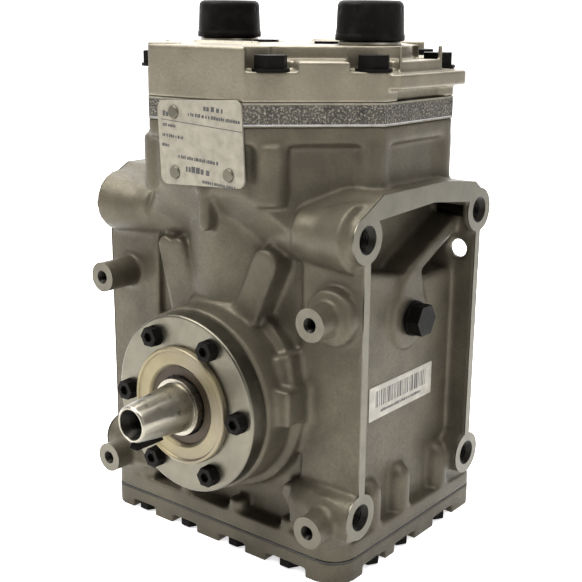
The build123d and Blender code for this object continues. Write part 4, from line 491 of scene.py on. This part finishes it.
def turned(name, profile, centre, steps):
    """A turned solid about a vertical axis: profile is a list of (radius, height), from axis to axis."""
    work = bmesh.new()
    rings = []
    for radius, height in profile:
        ring = []
        for step in range(steps if radius else 1):
            angle = 2 * math.pi * step / steps
            at = (centre[0] + radius * math.cos(angle), centre[1] + radius * math.sin(angle), height)
            ring.append(work.verts.new(at))
        rings.append(ring)
    for low, high in zip(rings, rings[1:]):
        for step in range(steps):
            following = (step + 1) % steps
            corners = [low[step % len(low)], low[following % len(low)], high[following % len(high)],
                       high[step % len(high)]]
            work.faces.new(list(dict.fromkeys(corners)))
    bmesh.ops.recalc_face_normals(work, faces=work.faces)
    mesh = bpy.data.meshes.new(name)
    work.to_mesh(mesh)
    work.free()
    mesh.shade_smooth()
    return new_piece(name, mesh)


# ================================================================ crankcase
def hole_grid(mount):
    """The four hole axes of a rectangular bolt pattern, as points on its face."""
    at = Vector(mount["pos_m"])
    across = [axis for axis in range(3) if not mount["axis"][axis]]
    spacing = [mount["dims"]["spacing_x_mm"] * MM / 2, mount["dims"]["spacing_y_mm"] * MM / 2]
    holes = []
    for first in (-1, 1):
        for second in (-1, 1):
            hole = at.copy()
            hole[across[0]] += first * spacing[0]
            hole[across[1]] += second * spacing[1]
            holes.append(hole)
    return holes


SIDE_FACE = mounts["side_mount_right"]["pos_m"][0]
SIDE_HOLE_R = mounts["side_mount_right"]["dims"]["hole_r_mm"] * MM
FRONT_FACE = mounts["clutch_coil_mount"]["pos_m"][1]
FRONT_HOLE_R = mounts["clutch_coil_mount"]["dims"]["hole_r_mm"] * MM
SIDE_HOLE_DEPTH = 19.5 * MM
FRONT_HOLE_DEPTH = 17.5 * MM
FRONT_BOSS_R = 7 * MM
SIDE_SINK = 1.8 * MM
FRONT_SINK = 0.5 * MM
FACE_CRISP = (0.6 * MM, 3.0 * MM)
SIDE_HOLE_CRISP = (SIDE_HOLE_R + 1.5 * MM, SIDE_HOLE_R + 3.0 * MM)
FRONT_HOLE_CRISP = (FRONT_HOLE_R + 1.2 * MM, FRONT_HOLE_R + 2.6 * MM)
HOLE_END = 2 * MM
SLEEVE_END = 1 * MM
TINY = 0.001 * MM
RIM_MARGIN = 0.1 * MM
SLEEVE_STEPS = 48
FACE_MARGIN = 0.01 * MM
BOSS_MARGIN = 2 * MM
PAD_PROUD = 0.15 * MM
PAD_T = 0.6 * MM
SLEEVE_T = 0.3 * MM
THREAD_PITCH = 1.3 * MM
THREAD_DEPTH = 0.45 * MM
# One turn of thread, deepest first: share of the pitch, share of the depth
THREAD_TURN = ((0.9, 0), (0.5, 1), (0.35, 1))
BOTTOM_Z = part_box("crankcase")[0].z
DECK_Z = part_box("crankcase")[1].z
RIGHT_HOLES = np.array([(hole.y, hole.z) for hole in hole_grid(mounts["side_mount_right"])])
LEFT_HOLES = np.array([(hole.y, hole.z) for hole in hole_grid(mounts["side_mount_left"])])
FRONT_HOLES = np.array([(hole.x, hole.z) for hole in hole_grid(mounts["clutch_coil_mount"])])


def nearest_hole(flat, holes):
    """Distance from the nearest hole's axis, and that axis, for points seen along the holes."""
    spans = np.linalg.norm(flat[:, None] - holes[None], axis=2)
    return spans.min(1), holes[spans.argmin(1)]


def nearest_side_hole(points):
    right_span, right_axis = nearest_hole(points[:, 1:], RIGHT_HOLES)
    left_span, left_axis = nearest_hole(points[:, 1:], LEFT_HOLES)
    on_right = points[:, 0] > 0
    return np.where(on_right, right_span, left_span), np.where(on_right[:, None], right_axis, left_axis)


def crankcase_freedom(points):
    """Machined faces and drilled holes stay crisp, and the rest of the casting may round."""
    free = crisp_planes(BOTTOM_Z, DECK_Z)(points)
    side_depth = SIDE_FACE - np.abs(points[:, 0])
    free *= smooth_step(side_depth, *FACE_CRISP)
    side_span, _ = nearest_side_hole(points)
    in_side = side_depth < SIDE_HOLE_DEPTH + HOLE_END
    free = np.where(in_side, free * smooth_step(side_span, *SIDE_HOLE_CRISP), free)
    front_span, _ = nearest_hole(points[:, [0, 2]], FRONT_HOLES)
    near_boss = front_span < FRONT_BOSS_R + BOSS_MARGIN
    front_depth = points[:, 1] - FRONT_FACE
    free = np.where(near_boss, free * smooth_step(front_depth, *FACE_CRISP), free)
    in_front = near_boss & (front_depth < FRONT_HOLE_DEPTH + HOLE_END)
    return np.where(in_front, free * smooth_step(front_span, *FRONT_HOLE_CRISP), free)


def clear_sleeves(flat, span, axis, depth, radius, sink, hole_depth):
    """Moves the points that lie within a hole's sleeve straight out to the outside of it."""
    wall = radius + np.maximum(sink - depth, 0) + SLEEVE_T
    inside = (span < wall) & (depth < hole_depth + SLEEVE_END)
    push = np.where(inside, wall / np.maximum(span, TINY), 1)
    return axis + (flat - axis) * push[:, None]


def crankcase_settle(points):
    """Draws the skin back a hair from the machined faces and drilled walls, which are separate pieces."""
    points = points.copy()
    limit = SIDE_FACE - PAD_PROUD
    points[:, 0] = np.clip(points[:, 0], -limit, limit)
    depth = np.maximum(SIDE_FACE - np.abs(points[:, 0]), 0)
    span, axis = nearest_side_hole(points)
    points[:, 1:] = clear_sleeves(points[:, 1:], span, axis, depth, SIDE_HOLE_R, SIDE_SINK, SIDE_HOLE_DEPTH)
    flat = points[:, [0, 2]]
    span, axis = nearest_hole(flat, FRONT_HOLES)
    at_boss = span < FRONT_BOSS_R + BOSS_MARGIN
    points[:, 1] = np.where(at_boss, np.maximum(points[:, 1], FRONT_FACE + PAD_PROUD), points[:, 1])
    depth = np.maximum(points[:, 1] - FRONT_FACE, 0)
    points[:, [0, 2]] = clear_sleeves(flat, span, axis, depth, FRONT_HOLE_R, FRONT_SINK, FRONT_HOLE_DEPTH)
    return points


case_voxel, case_rounds = ((0.9 * MM, 9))
cast_skin("crankcase", case_voxel, case_rounds, crankcase_freedom, crankcase_settle)


def open_mouths(piece, across, holes, radius, sink):
    """Widens the round edge of each hole in a flat face to the rim of its countersink."""
    points = points_of(piece.data)
    flat = points[:, across]
    span, axis = nearest_hole(flat, holes)
    rim = np.abs(span - radius) < RIM_MARGIN
    widened = axis + (flat - axis) * ((radius + sink) / np.maximum(span, TINY))[:, None]
    points[np.ix_(rim, across)] = widened[rim]
    set_points(piece.data, points)


def bore_walls(name, mouth, inward, radius, depth, sink, sink_depth=None):
    """The wall of a tapped hole as a thin sleeve: countersink, thread turns and a closed floor."""
    sink_depth = sink_depth or sink
    profile = [(0, depth)]
    turns = int((depth - sink_depth) / THREAD_PITCH)
    for turn_number in reversed(range(turns)):
        start = sink_depth + turn_number * THREAD_PITCH
        profile += [(radius - inward_share * THREAD_DEPTH, start + along * THREAD_PITCH)
                    for along, inward_share in THREAD_TURN]
    profile += [(radius, sink_depth), (radius + sink, 0.0), (radius + SLEEVE_T, sink_depth),
                (radius + SLEEVE_T, depth + SLEEVE_T), (0, depth + SLEEVE_T)]
    piece = turned(name, profile, (0, 0), SLEEVE_STEPS)
    piece.data.set_sharp_from_angle(angle=THREAD_EDGE_ANGLE)
    turn_inward = inward.to_track_quat("Z", "Y").to_matrix().to_4x4()
    piece.data.transform(Matrix.Translation(mouth) @ turn_inward)
    return piece


def side_face_piece(side, holes, suffix):
    def on_side(face):
        return all(side * vert.co.x > SIDE_FACE - FACE_MARGIN for vert in face.verts)

    piece = cut_faces("crankcase", suffix, on_side)
    open_mouths(piece, [1, 2], holes, SIDE_HOLE_R, SIDE_SINK)
    thicken(piece, PAD_T)
    add_on(piece, "crankcase", "milled_face")


def on_boss(face):
    if any(vert.co.y > FRONT_FACE + FACE_MARGIN for vert in face.verts):
        return False
    spans = [min(math.hypot(vert.co.x - x, vert.co.z - z) for x, z in FRONT_HOLES) for vert in face.verts]
    return max(spans) < FRONT_BOSS_R + RIM_MARGIN


side_face_piece(1, RIGHT_HOLES, "_right_face")
side_face_piece(-1, LEFT_HOLES, "_left_face")
boss_faces = cut_faces("crankcase", "_boss_faces", on_boss)
open_mouths(boss_faces, [0, 2], FRONT_HOLES, FRONT_HOLE_R, FRONT_SINK)
thicken(boss_faces, PAD_T)
add_on(boss_faces, "crankcase", "milled_face")
# The hole walls take the near-black look, painted shade inside the holes
for number in range(4):
    for side, name, holes in ((1, "right", RIGHT_HOLES), (-1, "left", LEFT_HOLES)):
        mouth = Vector((side * SIDE_FACE, *holes[number]))
        piece = bore_walls(f"{name}_bore_{number + 1}", mouth, Vector((-side, 0, 0)), SIDE_HOLE_R,
                           SIDE_HOLE_DEPTH, SIDE_SINK)
        add_on(piece, "crankcase", "bore_thread")
    hole_x, hole_z = FRONT_HOLES[number]
    piece = bore_walls(f"boss_bore_{number + 1}", Vector((hole_x, FRONT_FACE, hole_z)), Vector((0, 1, 0)),
                       FRONT_HOLE_R, FRONT_HOLE_DEPTH, FRONT_SINK)
    add_on(piece, "crankcase", "bore_thread")

# ================================================================ the other castings
fine_voxel, fine_rounds = ((0.6 * MM, 3))
cast_skin("cylinder_head", fine_voxel, fine_rounds, crisp_planes(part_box("cylinder_head")[0].z))
cast_skin("base_plate", fine_voxel, fine_rounds, crisp_planes(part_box("base_plate")[1].z))
cast_skin("rear_cover", fine_voxel, fine_rounds)

# ================================================================ turned, milled and bought pieces
# Width of the broken edge of each, in millimetres
broken_edges = {"seal_plate": 0.4, "seal_plate_screws": 0.25, "shaft_shield": 0.3, "crankshaft": 0.3,
                "base_screws": 0.3, "head_bolts": 0.35, "rear_cover_screws": 0.3, "port_fittings": 0.25,
                "oil_plugs": 0.4, "valve_plate": 0.3, "plate_rivets": 0.15, "data_plate": 0.12,
                "serial_label": 0.03, "woodruff_key": 0.15}
for node, width in broken_edges.items():
    finished = soften(node, width * MM)
    if node == "shaft_shield":
        paint(finished, "shield_zinc")

# The threaded mouth of the shaft's nose, a hair inside the drilled wall
nose = mounts["shaft_nose_thread"]
NOSE_THREAD_ROOM = 0.35 * MM
NOSE_BORE_R = nose["dims"]["r_mm"] * MM - NOSE_THREAD_ROOM
NOSE_SINK = 1.7 * MM
NOSE_INSET = 0.05 * MM
NOSE_SINK_DEPTH = 2.9 * MM
nose_mouth = Vector((0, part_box("crankshaft")[0].y + NOSE_INSET, nose["pos_m"][2]))
nose_bore = bore_walls("nose_bore", nose_mouth, Vector((0, 1, 0)), NOSE_BORE_R,
                       nose["dims"]["length_mm"] * MM, NOSE_SINK, NOSE_SINK_DEPTH)
# Its wall is near-black, painted shade inside the bore
add_on(nose_bore, "crankshaft", "bore_thread")

# ================================================================ port caps
CAP_DIMPLES = 8
CAP_TAPER = 0.7 * MM
CAP_EDGE_R = 2.6 * MM
CAP_GROOVE = 0.3 * MM
CAP_SIDE_LOW = 3.4 * MM
# The lower lip in millimetres: distance in from the foot's radius, height above the foot
CAP_LIP = ((2.2, 2.0), (2.0, 0.3), (1.4, 0.0), (0.4, 0.0), (0.0, 0.4), (0.0, 2.2), (0.25, 2.8))
# The dished crown in millimetres: distance in from the rounded edge, depth below the top
CAP_RIM = ((1.0, 0.0), (1.6, 0.25))
# Its middle in millimetres: radius, depth below the top
CAP_MIDDLE = ((4.0, 0.35), (3.4, 0.1), (0.0, 0.1))
CAP_SIDE_STEPS = 12
CAP_EDGE_STEPS = 10
CAP_STEPS = 160
DIMPLE_START = 0.3
DIMPLE_DROP = 1.4 * MM
DIMPLE_R = 0.9 * MM
DIMPLE_DEPTH = 0.35 * MM


def port_cap(node):
    """A moulded cap: slight taper, rounded top edge with a ring of dimples, shallow dished crown."""
    low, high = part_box(node)
    centre = (low + high) / 2
    foot = (high.x - low.x) / 2
    top = foot - CAP_TAPER
    edge = CAP_EDGE_R
    profile = [(0, low.z + CAP_LIP[0][1] * MM)]
    profile += [(foot - inset * MM, low.z + rise * MM) for inset, rise in CAP_LIP]
    side_low, side_high = low.z + CAP_SIDE_LOW, high.z - edge
    groove = foot - CAP_GROOVE
    for share in np.linspace(0, 1, CAP_SIDE_STEPS + 1):
        profile.append((groove + (top - groove) * share, side_low + (side_high - side_low) * share))
    for angle in np.linspace(0, math.pi / 2, CAP_EDGE_STEPS + 1)[1:]:
        profile.append((top - edge + edge * math.cos(angle), side_high + edge * math.sin(angle)))
    profile += [(top - edge - inset * MM, high.z - drop * MM) for inset, drop in CAP_RIM]
    profile += [(radius * MM, high.z - drop * MM) for radius, drop in CAP_MIDDLE]
    piece = turned(node + "_moulding", profile, centre, CAP_STEPS)
    points = points_of(piece.data)
    ring = side_high - DIMPLE_DROP
    for number in range(CAP_DIMPLES):
        angle = 2 * math.pi * (number + DIMPLE_START) / CAP_DIMPLES
        outward = np.array((math.cos(angle), math.sin(angle), 0))
        spot = np.array((centre.x, centre.y, ring)) + outward * top
        distance = np.linalg.norm(points - spot, axis=1)
        points -= outward * (DIMPLE_DEPTH * np.exp(-(distance / DIMPLE_R) ** 2))[:, None]
    set_points(piece.data, points)
    hand_over(piece, node)


port_cap("left_port_cap")
port_cap("right_port_cap")


# ================================================================ printing on the plate and the label
# Letters, as shares of their height
LETTER_MIN_W = 0.35
LETTER_MAX_W = 0.75
LETTER_DROP = 0.36
LETTER_RISES = (0.36, 0.5)
LETTER_GAPS = (0.16, 0.16, 0.45)
LAST_LETTER_W = 0.3


def strips(name, rectangles, place, lift):
    """Thin printed bars: each rectangle is (left, right, low, high) on the plane that place sets up."""
    work = bmesh.new()
    for left, right, low, high in rectangles:
        box = bmesh.ops.create_cube(work, size=1)
        size = Matrix.Diagonal((right - left, high - low, lift, 1))
        move = Matrix.Translation(((left + right) / 2, (low + high) / 2, lift / 2))
        bmesh.ops.transform(work, matrix=place @ move @ size, verts=box["verts"])
    mesh = bpy.data.meshes.new(name)
    work.to_mesh(mesh)
    work.free()
    return new_piece(name, mesh)


def words(draw, left, right, middle, height):
    """A row of short blocks that reads as small print and spells nothing."""
    row = []
    x = left
    while x < right - LAST_LETTER_W * height:
        end = min(x + height * draw.uniform(LETTER_MIN_W, LETTER_MAX_W), right)
        rise = height * draw.choice(LETTER_RISES)
        row.append((x, end, middle - LETTER_DROP * height, middle + rise))
        x = end + height * draw.choice(LETTER_GAPS)
    return row


draw = random.Random(11)
QUARTER = math.radians(90)
PLATE_TILT = math.radians(3.0)
PLATE_W = 46.8 * MM
RULE_T = 0.3 * MM
RULE_UP = 7.2 * MM
RULE_INSET = 0.8 * MM
PRINT_T = 0.04 * MM
plate_low, plate_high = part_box("data_plate")
plate_centre = (plate_low + plate_high) / 2
plate_centre.y = plate_low.y
# The plate's own axes: X to its right, Y up it, Z out of it towards the viewer in front
plate_place = (Matrix.Translation(plate_centre) @ Matrix.Rotation(PLATE_TILT, 4, "Y")
               @ Matrix.Rotation(QUARTER, 4, "X"))
# Rows of print in millimetres: left end, right end, middle height and letter height
rows = [(-21.5, -13.5, 9.8, 2.6), (1.5, 12.0, 14.3, 2.4), (-7.0, 21.5, 11.0, 1.7),
        (-21.5, -14.0, 5.2, 1.5), (-21.5, -9.5, 0.9, 1.5), (-21.5, -17.5, -3.2, 1.5),
        (-12.0, 11.5, -7.0, 1.7), (-7.5, 6.5, -11.6, 3.0), (2.0, 20.5, -15.6, 1.4)]
printing = [(-PLATE_W / 2 + RULE_INSET, PLATE_W / 2 - RULE_INSET, RULE_UP, RULE_UP + RULE_T)]
for left, right, middle, height in rows:
    printing += words(draw, left * MM, right * MM, middle * MM, height * MM)
add_on(strips("data_plate_print", printing, plate_place, PRINT_T), "data_plate", "print_ink")

label_low, label_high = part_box("serial_label")
label_centre = (label_low + label_high) / 2
label_centre.x = label_high.x
LABEL_W = label_high.y - label_low.y
LABEL_H = label_high.z - label_low.z
label_place = (Matrix.Translation(label_centre) @ Matrix.Rotation(QUARTER, 4, "Z")
               @ Matrix.Rotation(QUARTER, 4, "X"))
# Bar widths and gaps in millimetres; the ends as shares of the label's width and height
BAR_WIDTHS = (0.35, 0.35, 0.7, 1.1)
BAR_GAPS = (0.45, 0.7, 1.1)
BARS_END, BARS_LOW, BARS_HIGH = 0.40, -0.14, 0.34
WORDS_END, WORDS_UP = 0.32, -0.30
LABEL_LETTER_H = 1.5 * MM
bars = []
x = -LABEL_W * BARS_END
while x < LABEL_W * BARS_END:
    width = draw.choice(BAR_WIDTHS) * MM
    bars.append((x, x + width, LABEL_H * BARS_LOW, LABEL_H * BARS_HIGH))
    x += width + draw.choice(BAR_GAPS) * MM
bars += words(draw, -LABEL_W * WORDS_END, LABEL_W * WORDS_END, LABEL_H * WORDS_UP, LABEL_LETTER_H)
add_on(strips("serial_label_print", bars, label_place, PRINT_T), "serial_label", "print_ink")

# ================================================================ studio
FLOOR_HALF = 12.0
FLOOR_GLOW = 0.62
FLOOR_TINTS = ((0.86, 0.86, 0.86), (0.88, 0.88, 0.88))
SKY_TINT = (1.0, 0.995, 0.985, 1)
SKY_BRIGHT = 2.8
SKY_DIM = 0.30
WALL_DIRECTION = Vector((-0.62, 0.78, 0.0))
WALL_START = 0.35
WALL_FULL = 0.86
floor_mesh = bpy.data.meshes.new("floor")
corners = [(-FLOOR_HALF, -FLOOR_HALF, 0), (FLOOR_HALF, -FLOOR_HALF, 0), (FLOOR_HALF, FLOOR_HALF, 0),
           (-FLOOR_HALF, FLOOR_HALF, 0)]
floor_mesh.from_pydata(corners, [], [(0, 1, 2, 3)])
floor = new_piece("floor", floor_mesh)
floor_look = Look("floor", 0.0, 0.8)
floor_look.colour(floor_look.blend(floor_look.noise(400, 1.0), *FLOOR_TINTS))
floor_look.shader.inputs["Emission Color"].default_value = (1, 1, 1, 1)
floor_look.shader.inputs["Emission Strength"].default_value = FLOOR_GLOW
floor.data.materials.append(floor_look.material)
floor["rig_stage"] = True

world = bpy.data.worlds.new("studio")
bpy.context.scene.world = world
world.use_nodes = True
sky = world.node_tree.nodes["Background"]
sky.inputs["Color"].default_value = SKY_TINT
# A bright wall behind and dimmer ones to the sides and in front
view_direction = world.node_tree.nodes.new("ShaderNodeTexCoord")
towards = world.node_tree.nodes.new("ShaderNodeVectorMath")
towards.operation = "DOT_PRODUCT"
towards.inputs[1].default_value = WALL_DIRECTION
fade = world.node_tree.nodes.new("ShaderNodeMapRange")
set_range(fade, WALL_START, WALL_FULL, SKY_DIM, SKY_BRIGHT)
world.node_tree.links.new(view_direction.outputs["Generated"], towards.inputs[0])
world.node_tree.links.new(towards.outputs["Value"], fade.inputs["Value"])
world.node_tree.links.new(fade.outputs["Result"], sky.inputs["Strength"])


def soft_light(name, position, aim, size, watts):
    data = bpy.data.lights.new(name, "AREA")
    data.shape = "RECTANGLE"
    data.size = data.size_y = size
    data.energy = watts
    lamp = bpy.data.objects.new(name, data)
    bpy.context.scene.collection.objects.link(lamp)
    lamp.location = position
    lamp.rotation_mode = "QUATERNION"
    lamp.rotation_quaternion = (Vector(aim) - Vector(position)).to_track_quat("-Z", "Y")


low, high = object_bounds()
middle = (low + high) / 2
soft_light("key", (-0.45, -0.65, 1.00), middle, 0.55, watts=16)
soft_light("top", (-0.1, 0.1, 1.05), middle, 1.3, watts=44)
soft_light("fill", (0.95, -0.15, 0.60), middle, 0.8, watts=3)

# ================================================================ camera
YAW = math.radians(38.48)
PITCH = math.radians(14.78)
ROLL = math.radians(0.51)
LENS = 65.46
SENSOR = 36.0
CAMERA_PLACE = Vector((0.30252, -0.38269, 0.23828))
back = Vector((math.sin(YAW) * math.cos(PITCH), -math.cos(YAW) * math.cos(PITCH), math.sin(PITCH)))
level = (-back).cross(Vector((0, 0, 1))).normalized()
rise = level.cross(-back)
right = math.cos(ROLL) * level + math.sin(ROLL) * rise
up = math.cos(ROLL) * rise - math.sin(ROLL) * level
camera_data = bpy.data.cameras.new("camera")
camera_data.lens = LENS
camera_data.sensor_width = SENSOR
camera = bpy.data.objects.new("camera", camera_data)
bpy.context.scene.collection.objects.link(camera)
turn = Matrix((right, up, back)).transposed().to_4x4()
camera.matrix_world = Matrix.Translation(CAMERA_PLACE) @ turn
bpy.context.scene.camera = camera
bpy.context.scene.view_settings.view_transform = "Standard"
